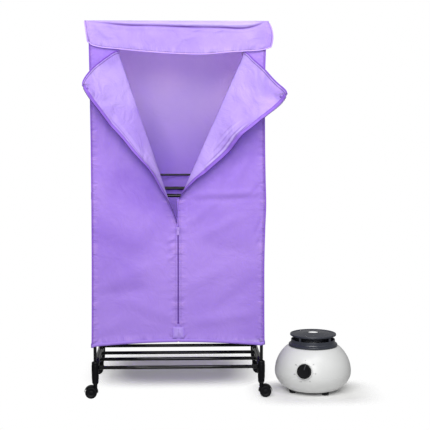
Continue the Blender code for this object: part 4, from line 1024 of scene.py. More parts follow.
    def wrap(self) -> Wrap:
        """The whole wall as one grid, from the left door's edge round the back to the right door's edge.

        Rows are heights from hem to roof. Columns run along the front, round a quarter circle at each
        corner, along the side and the back: nine stretches, each of x, y and the two shares of its outward
        direction. Every point is the plain wall pushed out by a swell, which is a sine across the panel
        times a sine up it, by slow waves, and by the front's folds.
        """
        low, slit, head, top = self.hem_z, self.slit_top_z, self.door_head_z, self.top_z
        z = np.unique(np.concatenate([np.linspace(*level) for level in (
            (low, slit, 62), (slit, 0.8, 14), (0.8, head, 74), (head, top, 16))]))[:, None]
        left, right = (self.reach(side, z) for side in Side)
        r, deep = self.corner_r, self.depth
        share = np.concatenate([np.linspace(0, 0.08, 7), np.linspace(0.08, 1, 52)[1:]])
        quarter, along_side, along_back = (np.linspace(0, end, count)[1:] for end, count in (
            (math.pi / 2, 7), (1, 24), (1, 44)))
        s, c = np.sin(quarter), np.cos(quarter)
        gap = np.where(z < slit, self.slit_half, self.door_gap)
        inner_left, inner_right = (gap + self.doors[side].crease_x(z) for side in Side)
        stretches = [np.broadcast_arrays(*stretch) for stretch in (
            (-(inner_left + (left - r - inner_left) * share), 0, 0, -1),
            (-(left - r) - r * s, r - r * c, -s, -c),
            (-left, r + (deep - 2 * r) * along_side, -1, 0),
            (-(left - r) - r * c, deep - r + r * s, -c, s),
            (-(left - r) + (left + right - 2 * r) * along_back, deep, 0, 1),
            (right - r + r * s, deep - r + r * c, s, c),
            (right, deep - r - (deep - 2 * r) * along_side, 1, 0),
            (right - r + r * c, r - r * s, c, -s),
            (inner_right + (right - r - inner_right) * (1 - share[1:]), 0, 0, -1))]
        x, y, nx, ny = (np.concatenate(values, axis=1) for values in zip(*stretches))
        widths = [stretch[0].shape[1] for stretch in stretches]
        part = np.repeat(np.arange(len(widths)), widths)
        front, sides, back = (part == 0) | (part == 8), (part == 2) | (part == 6), (part >= 3) & (part <= 5)
        bow = self.hem_bow * (1 - np.clip(x / self.half_width, -1, 1) ** 2)
        near_hem = np.clip(1 - (z - low) / 0.25, 0, 1) ** 2
        up = z + np.where(front, bow, self.hem_sway * np.sin(5 * y / deep + x * 4)) * near_hem
        height = (up - low) / (top - low)
        over_back, over_side = np.clip((x + left) / (left + right), 0, 1), np.clip(y / deep, 0, 1)
        edge = np.where(part == 0, -x - inner_left, x - inner_right)
        border = np.where(part == 0, left + x, right - x)
        push = np.where(back, dome(over_back) * dome(height) * (
            self.back_swell + ripples(self.back_waves, over_back, height)), 0.0)
        push += np.where(sides, dome(over_side) * dome(height * 0.94 + 0.03) * (
            self.side_swell + 0.0025 * np.sin(14 * over_side + 4 * height + x * 3)), 0.0)
        slow = self.front_swell * dome((up - low) / 1.15) + ripples(self.front_waves, x, up)
        puckers = fold_height(self.front_folds, x, up) * ease(border, 0.0, 0.02) * ease(edge, 0.0, 0.01)
        push += np.where(front, ease(edge, 0.0, 0.05) * ease(border, 0.002, 0.04) * slow + puckers, 0.0)
        push = np.where(front, np.maximum(push, self.deepest), push)
        turned = np.where(front, ease(edge, 0.0, 0.006), 1.0)
        points = stack(x + nx * push, y + ny * push - (1 - turned) * ny * self.door_tuck, up)
        run = np.cumsum(np.hypot(np.diff(x, axis=1), np.diff(y, axis=1)), axis=1)
        run = np.concatenate([0 * z, run], axis=1)
        from_corner = np.minimum(np.abs(y), np.abs(deep - y)) + 0.004
        seam = np.select([front, sides, part == 4],
                         [np.minimum(edge, border), from_corner, np.minimum(x + left, right - x)], 0.0)
        hem = up - low - np.where(front, bow, 0.0)
        return Wrap(points, stack(run, up), np.minimum(seam, hem), np.where(hem < seam, run, up),
                    stack(nx, ny, 0.0), np.cumsum([0] + widths))

    def hollows(self, points: Array) -> Array:
        """Trait shade of the front: at most a tenth, where the valleys of its folds are deepest."""
        deep = fold_height([f for f in self.front_folds if f.height < 0], points[..., 0], points[..., 2])
        return np.clip(-deep / 0.004, 0.0, 1.0) * (points[..., 1] < 0.02) * 0.1

    def walls(self) -> None:
        """Builds the wrap, its hem band and its corner piping."""
        wrap = self.wrap()
        points = wrap.points
        low = np.clip(1 - (points[..., 2] - self.hem_z) / 0.03, 0.0, 1.0)
        # Trait pale is painted light along the lower right of the front, over the hem; trait shade is painted
        # shade in the valleys of the front's folds.
        wall = self.piece(
            "cover_wall", points, self.finishes.cloth, "cabinet", "cloth", "cover_front_left",
            "cover_front_right", "cover_side_left", "cover_side_right", "cover_back", spots=wrap.spots,
            flip=True, seam=wrap.seam,
            run=wrap.run, pale=low * ease(points[..., 0], 0.0, 0.33) * (points[..., 1] < 0.02),
            shade=self.hollows(points))
        thicken(wall, self.cloth, self.finishes.inside)
        hem, pipes = self.hem_band(wrap), self.piping(wrap)
        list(pipes)

    def hem_band(self, wrap: Wrap) -> Object:
        """The hem, turned double: the wall's lowest row carried a little way out, in three rows."""
        share = np.linspace(0.0, 1.0, 3)[:, None, None]
        foot = wrap.points[:1]
        head = foot + np.array((0.0, 0.0, self.hem_height))
        band = foot * (1 - share) + head * share + wrap.outward[:1] * self.hem_off
        band[..., 2] -= self.hem_drop
        made = self.piece("cover_hem", band, self.finishes.cloth, "cabinet", "cloth",
                          spots=np.repeat(wrap.spots[:1], 3, axis=0), flip=True, seam=0.03, run=0.0)
        return thicken(made, self.hem_wall, offset=1.0)

    def piping(self, wrap: Wrap) -> list[Object]:
        """A bound seam up each corner and round the roof, as a cord that follows the wall's own points."""
        cords = {}
        for name, part in (("front_left", 1), ("back_left", 3), ("back_right", 5), ("front_right", 7)):
            path = wrap.points[::3, wrap.starts[part] + 2].copy()
            middle = path[:, :2] - np.array((0.0, self.depth / 2))
            path[:, :2] += middle / long(middle) * 0.0006
            tube = sweep(path, self.piping_r, up=(0.0, 1.0, 0.02))
            cords[f"corner_piping_{name}"] = tube, tube[..., [2, 2]]
        rim = wrap.points[-1].copy()
        rim = rim[np.concatenate([[True], long(np.diff(rim[:, :2], axis=0))[:, 0] > 1e-4])]
        rim[:, 2] = self.top_z - 0.0005
        tube = sweep(rim, self.piping_r)
        cords["roof_piping"] = tube, tube[..., :2]
        return [self.piece(name, tube, self.finishes.binding, "cabinet", "cloth", spots=spots)
                for name, (tube, spots) in cords.items()]

    def roof(self) -> None:
        """The roof: a sheet that rests on the corner joints and sags between them by two sines.

        Its corners are drawn in: each point moves along its ray by the ratio of the square's measure to
        that of a square with rounded corners, which is the eighteenth root of the summed eighteenth powers.
        """
        u, v = np.meshgrid(np.linspace(0, 1, 57), np.linspace(0, 1, 41))
        left, right = (float(self.reach(side, np.array(1.516))) for side in Side)
        x, y, power = -left + (left + right) * u, self.depth * v, 18.0
        round_in = (np.abs(2 * u - 1) ** power + np.abs(2 * v - 1) ** power) ** (1 / power)
        square_in = np.maximum(np.abs(2 * u - 1), np.abs(2 * v - 1))
        pull = np.where(round_in > 0, square_in / np.maximum(round_in, 1e-6), 1.0)
        x, y = x * pull, (y - self.depth / 2) * pull + self.depth / 2
        sag = self.roof_sag * (dome(u) * dome(v)) ** 1.4 + ripples(self.roof_waves, u, v) * dome(u) * dome(v)
        z = self.top_z + 0.0012 - sag + 0.0016 * bell(v, 0.5, 0.03) * dome(u)
        seam = np.minimum(np.minimum(x + left, right - x), np.minimum(y, self.depth - y))
        made = self.piece("cover_roof", stack(x, y, z), self.finishes.roof, "cabinet", "cloth", "cover_top",
                          spots=stack(x, y), seam=seam, run=x + y)
        thicken(made, self.cloth, self.finishes.inside)

    def head(self) -> None:
        """The strip above the doors, set a little back so that the closed lapels pass in front of it."""
        high = self.top_z - 0.003
        left, right = (door.top_x + self.strip_overlap for door in self.doors.values())
        u, v = np.meshgrid(np.linspace(-left, right, 60), np.linspace(0, 1, 14))
        low = smooth_line(u, Valance.low_x, Valance.low_z) + 0.006
        z = low + (high - low) * v
        back = self.strip_back * (1 - v ** 3) + 0.0008 * np.sin(26 * u)
        made = self.piece("door_head_strip", stack(u, back, z), self.finishes.cloth, "cabinet", "cloth",
                          "cover_head", spots=stack(u, z), seam=z - low + 0.001, run=u)
        thicken(made, self.cloth, self.finishes.inside)

    def lapel(self, door: Door) -> None:
        """One open lapel, its bound edges and its half of the zip, all riding on the lapel's body.
        """
        even = np.linspace(0.0, 1.0, 56)
        up, across = np.meshgrid(np.linspace(door.foot_share, 1.0, 90), 1 - (1 - even) ** 1.6, indexing="ij")
        along, off = door.flat(up, across)
        zip_side = (1 - across) * up * door.top_x * door.rise / door.length
        head_side = (1 - up) * door.rise + 0.0005
        # Painted shade in the valleys and painted light on the ridges of the gathers beside the zip.
        shade, pale = door.painted_gather_traits(up, zip_side)
        made = self.piece(
            f"lapel_cloth_{door.side.word}", door.lift(along, off), self.finishes.lining, door.body, "lining",
            door.body, spots=stack(along, off), flip=door.side is Side.LEFT, shade=shade, pale=pale,
            seam=np.minimum(zip_side + 0.006, head_side), run=np.where(head_side < zip_side, off, along))
        thicken(made, self.cloth, self.finishes.cloth)
        extras = [self.lapel_binding(door), self.lapel_eyelet(door), *self.lapel_zip(door)]
        area = abs(float((0.5 * (off[1:, 1:] - off[:-1, :-1]) * (along[1:, :-1] - along[:-1, 1:])
                          - 0.5 * (along[1:, 1:] - along[:-1, :-1]) * (off[1:, :-1] - off[:-1, 1:])).sum()))
        normal, spot = door.closed_plane()
        for piece in (made, *extras):
            tuple(normal)
            tuple(self.place(spot))
            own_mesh(piece)
        log.info("lapel %s of %.4f square metres", door.side.word, area)

    def lapel_binding(self, door: Door) -> Object:
        """The bound edge along the lapel's head and round its tip: a flattened cord on the cloth's rim."""
        across = np.linspace(0.02, 1.0, 70)
        path = door.lift(*door.flat(np.ones_like(across), across))
        tube = sweep(path, self.binding_r, up=(0.0, 1.0, 0.0), flat=0.8)
        return self.piece(f"lapel_head_binding_{door.side.word}", tube, self.finishes.binding, door.body,
                          "lining", spots=tube[..., [0, 2]])

    def lapel_eyelet(self, door: Door) -> Object:
        """The small ring at the lapel's tip: a rolled profile carried round the cloth's own normal there."""
        up, across = np.array((0.955, 0.955, 0.965)), np.array((0.925, 0.935, 0.925))
        spot, over, above = door.lift(*door.flat(up, across))
        facing = unit(np.cross(over - spot, above - spot))
        facing = facing if facing[1] < 0 else -facing
        turn = basis(over - spot, np.cross(facing, over - spot), facing)
        ring = ((0.0018, -0.0012), (0.0036, -0.0012), (0.004, 0.0004), (0.0036, 0.001), (0.0026, 0.0012),
                (0.0019, 0.0006), (0.0018, -0.0012))
        return self.piece(f"lapel_eyelet_{door.side.word}", lathe(ring, 28), self.finishes.coil, door.body,
                          "zip_tape", place=self.place.inner(spot, turn), sharp=60)

    def lapel_zip(self, door: Door) -> list[Object]:
        """The lapel's half of the zip: a tape sewn along its free edge, with the coil on the tape's rim.

        The tape is the lapel's own surface over the last few millimetres, raised off the cloth. The coil is
        a small helix, cosine and sine of its turns about the edge's line.
        """
        word = door.side.word
        up = np.linspace(door.foot_share, self.zip_top_share, 110)[:, None]
        reach = np.maximum(up * door.top_x * door.rise / door.length, 1e-3)
        inner = np.clip(1 - self.zip_width / reach, 0.0, 1.0)
        along, off = door.flat(*np.broadcast_arrays(up, inner + (1 - inner) * np.linspace(0.0, 1.0, 6)))
        tape = self.piece(f"lapel_zip_tape_{word}", door.lift(along, off, 0.0006), self.finishes.tape,
                          door.body, "zip_tape", spots=stack(off, along), flip=door.side is Side.LEFT)
        thicken(tape, self.tape_wall, offset=1.0)
        turns = np.linspace(0, FULL_TURN * self.coil_turns, 8 * self.coil_turns)
        edge = np.linspace(door.foot_share, self.zip_top_share, len(turns))
        along, off = door.flat(edge, np.ones_like(edge))
        helix = door.lift(along, off + 0.0006 + 0.0012 * (1 + np.cos(turns)), 0.0012 + 0.0009 * np.sin(turns))
        return [tape, self.piece(f"lapel_zip_coil_{word}", sweep(helix, 0.00045, 4, (0.0, 1.0, 0.1)),
                                 self.finishes.coil, door.body, "zip_tape")]

    def build(self) -> None:
        """Builds every piece of the cover."""
        self.walls()
        self.roof()
        self.head()
        for door in self.doors.values():
            self.lapel(door)


@dataclass
class Valance(Part):
    """The flap over the door's head: a rolled top, a crease under it, a bellied face, a bound lower edge."""
    left: float = 0.3665
    right: float = 0.361
    top_z: float = 1.5185
    cloth: float = 0.0012
    seam_allowance: float = 0.008
    binding_r: float = 0.0021
    crease_drop: float = 0.027
    belly: float = 0.01
    roll: tuple[float, float] = (0.0075, 0.0085)
    groove: tuple[float, float] = (0.0052, 0.003)
    lip: tuple[float, float] = (0.0022, 0.006)
    flare: float = 0.016
    tuck: float = 0.0115
    waves: tuple[Row, ...] = ((0.0013, 13, 4, 0), (0.001, 29, -6, 0))
    low_x: Row = (-0.36, -0.352, -0.316, -0.233, -0.109, 0.008, 0.12, 0.187, 0.258, 0.33, 0.372)
    low_z: Row = (1.436, 1.4295, 1.4171, 1.4075, 1.3964, 1.3892, 1.388, 1.3945, 1.3994, 1.405, 1.42)
    crease_x: Row = (-0.367, -0.283, -0.208, -0.108, 0.008, 0.065, 0.17, 0.276, 0.322, 0.345, 0.362)
    crease_z: Row = (1.5165, 1.5073, 1.5001, 1.498, 1.4944, 1.4926, 1.4915, 1.4904, 1.504, 1.516, 1.5175)
    dents: tuple[Fold, ...] = folds(
        (-0.3, 1.475, 0.03, -0.03, 0.01, 0.0022), (-0.255, 1.468, 0.03, -0.035, 0.01, -0.002),
        (0.115, 1.4865, 0.03, -0.005, 0.005, -0.0025), (0.08, 1.483, 0.02, 0.004, 0.005, 0.002),
        (0.02, 1.484, 0.03, -0.003, 0.005, -0.002), (0.16, 1.478, 0.03, 0.008, 0.006, 0.002),
        (0.3, 1.465, 0.02, 0.03, 0.012, 0.002), (0.335, 1.46, 0.006, 0.035, 0.006, -0.002))

    def build(self) -> None:
        """Builds the flap and its binding. Roll, groove and lip are each a height and a width.

        Across goes from end to end and down from the seam to the lower edge. The face stands forward by a
        belly, three quarters of a sine down the flap. The rolled top is a bump above the crease line and
        the crease is a narrow valley on it, both bell curves of the height over that line.
        """
        across, down = np.meshgrid(np.linspace(0, 1, 190), np.linspace(0, 1, 46))
        x0 = -self.left + (self.left + self.right) * across
        low = smooth_line(x0, self.low_x, self.low_z)
        z = self.top_z - (self.top_z - low) * down
        crease = smooth_line(x0, self.crease_x, self.crease_z)
        depth = np.clip((self.top_z - crease) / self.crease_drop, 0.0, 1.0)
        forward = self.belly * np.sin(0.75 * np.pi * down) + 0.003 * down
        forward = forward * (0.45 + 0.55 * dome(across) ** 0.5)
        for middle, (height, width), sign in (((self.top_z - crease) / 2, self.roll, 1),
                                              (-0.001, self.groove, -1), (-0.01, self.lip, 1)):
            forward = forward + sign * height * depth * bell(z - crease, middle, width)
        forward = forward + ripples(self.waves, across, down) * dome(down) ** 0.5
        forward = forward + fold_height(self.dents, x0, z)
        forward = np.maximum(forward, 0.0004 + 0.002 * down)
        flare = ease(across, 0.9, 1.0) * self.flare * dome((down - 0.05) / 1.15) ** 0.8
        x = x0 + flare + ease(1 - across, 0.955, 1.0) * self.tuck * down
        y = (-0.0012 - forward + 0.006 * ease(1 - across, 0.975, 1.0) * down
             - 0.004 * ease(across, 0.94, 1.0) * dome(down))
        points = stack(x, y, z)
        edge = np.minimum(z - low, np.minimum(x0 + self.left, self.right - x0))
        # Trait shade is painted shade along the crease under the rolled top; trait pale is painted light on
        # the rolled top.
        flap = self.piece(
            "valance_flap", points, self.finishes.flap, "valance", "cloth", "valance",
            spots=stack(x0, z), flip=True, seam=edge + 0.004, run=x0,
            shade=1.25 * depth * bell(z - crease, 0.0005, 0.003) * (0.8 + 0.2 * np.sin(31 * x0 + 1)),
            pale=depth * ease(z, crease + 0.004, crease + 0.01) * 0.7)
        thicken(flap, self.cloth)
        rim = np.concatenate([points[2::3, 0], points[-1, ::3], points[-2:2:-3, -1]])
        tube = sweep(rim, self.binding_r, up=(0.0, 1.0, 0.0), flat=0.8)
        binding = self.piece("valance_binding", tube, self.finishes.pale_binding, "valance", "cloth",
                             spots=tube[..., [0, 2]])
        width, drop = self.left + self.right, float((self.top_z - low).max())
        log.info("valance %.0f mm wide", width * 1000)


@dataclass
class Zip(Part):
    """The closed part of the zip down the middle, with its stop patch, and the half tape beside the slit."""
    foot_z: float = 0.314
    head_z: float = 0.7
    slit_top_z: float = 0.812
    tape_half: float = 0.0065
    patch_half: float = 0.023
    patch_top: float = 0.294
    tail_z: float = 0.2338
    front_y: float = -0.0016
    coil_turns: int = 240
    coil_r: float = 0.0013

    def strip(self, name: str, points: tuple[Array, Array, Array], wall: float, **traits: Array) -> Object:
        """A sheet of cloth with these x, y and z, as thick as the wall."""
        made = self.piece(name, stack(*points), self.finishes.cloth, "cabinet", "zip_tape",
                          spots=stack(*points[::2]), **traits)
        return thicken(made, wall)

    def build(self) -> None:
        """Builds tape, coil, patch, stop and half tape."""
        x, z = np.meshgrid(np.linspace(-1, 1, 15) * self.tape_half,
                           np.linspace(self.tail_z, self.head_z, 150))
        closed = ease(z, self.foot_z - 0.006, self.foot_z)
        lips = 0.0008 * bell(np.abs(x), 0.003, 0.0011) * closed
        ripple = 0.0003 * np.sin(z * 420 + 40 * x) * ease(np.abs(x), 0.002, 0.005)
        # Trait shade is painted shade in the groove down the closed zip's middle, with a darker band left of
        # it lower down; trait pale is painted highlights on the raised tape edges.
        dark = bell(x, 0.0, 0.0034, 4) + 0.4 * bell(x, -0.0048, 0.002) * (1 - ease(z, 0.36, 0.5))
        tape = self.strip("zip_tape_closed", (x, self.front_y - lips - ripple, z), 0.0007, run=z,
                          seam=np.abs(np.abs(x) - 0.0045) + 0.011, shade=closed * dark,
                          pale=closed * 0.35 * bell(np.abs(x), 0.0056, 0.0012))
        turns = np.linspace(0, FULL_TURN * self.coil_turns, 2900)
        line = np.linspace(self.foot_z, self.head_z - 0.004, len(turns))
        forward = self.front_y - 0.0002 - 0.0005 * np.sin(turns)
        helix = stack(self.coil_r * np.cos(turns), forward, line)
        coil = self.piece("zip_coil_closed", sweep(helix, 0.0004, 4, (0.0, 1.0, 0.1)), self.finishes.coil,
                          "cabinet", "zip_tape")
        patch, stop, half = self.patch(), self.stop(), self.half_tape()
        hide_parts("zip_chain")
        log.info("zip and its patch")

    def patch(self) -> Object:
        """The square patch below the zip, its edges turned under and a short seam up its middle."""
        u, v = np.meshgrid(np.linspace(-1, 1, 33), np.linspace(-1, 1, 33))
        away = np.maximum(np.abs(u), np.abs(v))
        rise = 0.0012 * (1 - away ** 6) + 0.0006 * np.sin(5 * u + 3 * v) * (1 - away ** 4)
        groove = 0.0008 * bell(u, 0.0, 0.07) * ease(0.75 - np.abs(v), 0.0, 0.15)
        half = self.patch_half
        points = u * half, self.front_y - rise + groove, self.patch_top - half + v * half
        # Trait shade is painted shade in the seam's groove; trait pale makes the patch lighter towards its
        # middle.
        return self.strip("zip_stop_patch", points, 0.0005, seam=0.011 + 0.02 * ease(away, 0.0, 1.0),
                          run=points[2], shade=0.3 * bell(u, 0.0, 0.06) * (np.abs(v) < 0.7),
                          pale=0.28 * (1 - away ** 3))

    def stop(self) -> Object:
        """The small moulded stop at the zip's foot: a rounded box, an outline carried forward."""
        outline = rounded([(-0.004, -0.0035), (0.004, -0.0035), (0.0032, 0.0035), (-0.0032, 0.0035)], 0.0012)
        spot = self.place.inner((0.0, -0.0006, self.foot_z - 0.003), FACING_FORWARD)
        return self.piece("zip_stop", prism(outline, 0.0, 0.0024, 0.0006), self.finishes.coil, "cabinet",
                          "zip_tape", place=spot, sharp=40)

    def half_tape(self) -> Object:
        """The tape on the right edge of the slit, between the slider and the right lapel's foot."""
        across, z = np.meshgrid(np.linspace(0, 1, 6), np.linspace(self.head_z + 0.001, self.slit_top_z, 40))
        x = -0.002 + 0.0105 * across + 0.0012 * np.sin(z * 60)
        return self.strip("slit_tape_right", (x, 0.0022 - 0.0036 * (1 - across) ** 2, z), 0.0009,
                          seam=np.abs(x) + 0.011, run=z)


@dataclass
class Tubes(Part):
    """The tube frame: posts, shelves, top rails and the rod, with their sockets and clamps."""
    post_x: float = 0.338
    front_y: float = 0.014
    back_y: float = 0.443
    rod_y: float = 0.2285
    post_r: float = 0.0065
    rail_r: float = 0.0125
    bar_r: float = 0.0072
    thin_r: float = 0.0045
    wall: float = 0.001
    shelf_z: float = 0.1255
    mid_z: float = 0.8255
    thin_z: float = 0.8845
    top_z: float = 1.492
    post_top: float = 1.48
    socket_low: float = 0.062
    socket_top: float = 0.15
    socket_r: float = 0.015
    socket_foot_r: float = 0.0125
    socket_floor: float = 0.03
    stem_bore: float = 0.0051
    ribs: int = 10
    clamp_r: float = 0.0099
    corner_r: float = 0.0099
    plug: float = 0.0026
    gap: float = 0.0003
    shelf_shares: tuple[float, ...] = (0.365, 0.655)

    def tube(self, word: str, start: Sequence[float], end: Sequence[float], radius: float, node: str) -> None:
        """A round tube between two points, with eased lips and an open bore.

        Args:
            word: the piece's name after tube_.
            start: one end, in the cabinet's sizes.
            end: the other end.
            radius: outer radius.
            node: the CAD node it stands for.
        """
        start, end = np.asarray(start, float), np.asarray(end, float)
        length = float(np.linalg.norm(end - start))
        bore, lip = radius - self.wall, self.wall * 0.35
        outer = [(radius - lip, 0.0), (radius, lip), (radius, length * 0.33), (radius, length * 0.67),
                 (radius, length - lip), (radius - lip, length)]
        ahead = unit(end - start)
        side = unit(np.cross((0.0, 0.0, 1.0), ahead)) if abs(ahead[2]) < 0.9 else np.array((1.0, 0.0, 0.0))
        turn = basis(side, np.cross(ahead, side), ahead)
        shape = lathe([*outer, (bore, length), (bore, 0.0), outer[0]], 24)
        self.piece(f"tube_{word}", shape, self.finishes.tube, "cabinet", "black_tube", node,
                   place=self.place.inner(start, turn), sharp=50)

    def bar(self, word: str, y: float, z: float, clear: float, radius: float, node: str) -> None:
        """A tube from side to side that stops clear of the posts' middle lines."""
        end = self.post_x - clear - self.gap
        self.tube(word, (-end, y, z), (end, y, z), radius, node)

    def socket(self, word: str, x: float, y: float) -> None:
        """A plastic foot socket: it flares from the caster stem up to a collar, with ribs round its waist.

        The outline is a profile carried round the post. The ribs are a small cosine on the radius over the
        middle.
        """
        low, top, r, foot = self.socket_low, self.socket_top, self.socket_r, self.socket_foot_r
        heights = np.linspace(low, top, 40)
        radius = np.interp(
            heights, [low, low + 0.004, low + 0.026, 0.1, 0.104, 0.134, 0.138, top - 0.003, top],
            [foot, foot + 0.0006, r - 0.0006, r - 0.0006, r, r, r - 0.0008, r - 0.0008, r - 0.003])
        bore, stem, roof = self.post_r + self.gap, self.stem_bore, low + 0.028
        shape = lathe([(0.0, roof), (stem, roof), (stem, low), *zip(radius, heights), (bore, top),
                       (bore, roof + 0.004), (0.0, roof + 0.004)], 40)
        angle = np.linspace(0, FULL_TURN, 41)
        waist = dome((shape[..., 2] - 0.068) / 0.03) ** 2 * (np.hypot(*shape.T[:2]).T > 0.011)
        self.piece(f"socket_{word}", fluted(shape, 1 + 0.018 * np.cos(self.ribs * angle) * waist),
                   self.finishes.joint, "cabinet", "black_plastic", f"foot_socket_{word}",
                   place=self.place.inner((x, y, 0.0)), sharp=40)

    def build(self) -> None:
        """Builds every tube and socket."""
        floor, post_top = self.socket_low + self.socket_floor + self.gap, self.post_top - self.gap
        plug = self.corner_r - self.plug
        for word, y in ((Depth.FRONT.value, self.front_y), (Depth.BACK.value, self.back_y)):
            for side in Side:
                x, corner = side.value * self.post_x, f"{word}_{side.word}"
                self.tube(f"post_{corner}", (x, y, floor), (x, y, post_top), self.post_r, f"post_{corner}")
                self.socket(corner, x, y)
            self.bar(f"shelf_{word}", y, self.shelf_z, self.socket_r, self.bar_r, f"shelf_bar_{word}")
            self.bar(f"mid_{word}", y, self.mid_z, self.clamp_r, self.bar_r, f"mid_bar_{word}")
            self.bar(f"top_{word}", y, self.top_z, plug, self.post_r, f"top_rail_{word}")
        for side in Side:
            x = side.value * self.post_x
            for word, z, clear, radius, node in (
                    ("shelf", self.shelf_z, self.socket_r, self.rail_r, "shelf_rail"),
                    ("top", self.top_z, plug, self.post_r, "top_rail")):
                start, end = self.front_y + clear + self.gap, self.back_y - clear - self.gap
                self.tube(f"{word}_side_{side.word}", (x, start, z), (x, end, z), radius,
                          f"{node}_{side.word}")
        for k, share in enumerate(self.shelf_shares, 1):
            y = self.front_y + (self.back_y - self.front_y) * share
            self.bar(f"shelf_inner_{k}", y, self.shelf_z, self.rail_r, self.bar_r, f"shelf_bar_inner_{k}")
        self.bar("thin", self.back_y, self.thin_z, self.post_r, self.thin_r, "thin_bar")
        self.bar("hanging", self.rod_y, self.top_z, self.post_r, self.bar_r, "hanging_rod")
        log.info("tube frame")


@dataclass
class Caster(Part):
    """One swivel caster: metal stem, moulded hood over twin wheels, and the wheels with their hub caps."""
    word: str
    wheel_r: float = 0.024
    trail: float = 0.017
    inner: float = 0.0065
    outer: float = 0.0155
    hood_gap: float = 0.0022
    hood_half: float = 0.017
    hood_wall: float = 0.002
    boss_r: float = 0.0085
    web_half: float = 0.0048

    def build(self) -> None:
        """Builds the fork and the wheels."""
        self.fork()
        self.wheels()
        log.info("caster %s", self.word)

    def fork(self) -> None:
        """The fork: a hood that is an arc of a crowned tube, a web between the wheels, a neck and a stem.

        The hood is a section carried round the axle. Its section is crowned: the radius drops by the fourth
        power of the distance from the middle. It is closed by its own inner wall.
        """
        inner_r, half = self.wheel_r + self.hood_gap, self.hood_half
        swing = np.radians(np.linspace(8.0, 180.0, 40))[:, None]
        section = np.linspace(-1.0, 1.0, 15)
        crown = inner_r + self.hood_wall - 0.0009 * section ** 4
        ring_r = np.concatenate([crown, [inner_r, inner_r], crown[:1]])
        ring_w = np.concatenate([section * half, [half, -half, -half]])
        taper = 1.0 - 0.1 * ease(np.degrees(swing), 120, 180)
        hood = stack(self.trail + ring_r * np.cos(swing), ring_w * taper,
                     self.wheel_r + ring_r * np.sin(swing))
        ends = [np.broadcast_to(end.mean(axis=0), hood[:1].shape) for end in (hood[0], hood[-1])]
        under = np.radians(np.linspace(35.0, 395.0, 50))
        degrees = np.degrees(under) % 360
        reach = np.where((degrees >= 35) & (degrees < 150), inner_r + 0.001, self.boss_r)
        plate = stack(reach * np.cos(under), reach * np.sin(under))[:-1]
        axle = Place(np.array((self.trail, 0.0, self.wheel_r)), FACING_FORWARD)
        shapes = Surface().grid(np.concatenate([ends[0], hood, ends[1]]))
        shapes.grid(axle(prism(plate, -self.web_half, self.web_half, 0.0004)))
        shapes.grid(lathe([(0.0, 0.036), (0.0082, 0.036), (0.0082, 0.0575), (0.0105, 0.0578),
                           (0.0105, 0.061), (0.01, 0.0617), (0.0046, 0.0617), (0.0, 0.0617)], 32))
        made = shapes.object(f"caster_hood_{self.word}", self.place, self.finishes.joint, 45)
        settle(made, f"caster_{self.word}", "black_plastic", f"caster_fork_{self.word}")
        stem = lathe([(0.0, 0.0612), (0.0068, 0.0612), (0.0068, 0.0619), (0.0045, 0.0622), (0.0045, 0.086),
                      (0.0038, 0.0877), (0.0, 0.0877)], 28)
        self.piece(f"caster_stem_{self.word}", stem, self.finishes.metal, f"caster_{self.word}",
                   "bright_metal", sharp=45)

    def wheels(self) -> None:
        """Twin wheels: a profile with a rounded tread, a rim step and a domed cap, carried round the axle."""
        r, w = self.wheel_r, self.outer
        half = [(0.0, w - 0.0006), (0.0035, w - 0.0007), (0.0078, w - 0.0014), (0.0092, w - 0.0021),
                (0.01, w - 0.0021), (0.0145, w - 0.0006), (0.0158, w), (r - 0.0032, w),
                (r - 0.0012, w - 0.0007), (r - 0.0002, w - 0.0024), (r, w - 0.004),
                (r, self.inner + 0.0016), (r - 0.001, self.inner), (0.006, self.inner),
                (0.003, self.inner)]
        profile = np.array([(radius, -width) for radius, width in half] + half[::-1])
        profile = [profile[0], *rounded(profile[1:-1], 0.0004, 3, closed=False), profile[-1]]
        self.piece(f"caster_tyres_{self.word}", lathe(profile), self.finishes.tread, f"wheels_{self.word}",
                   "caster_tread", f"caster_wheels_{self.word}", sharp=50,
                   place=self.place.inner((self.trail, 0.0, r), FACING_FORWARD))


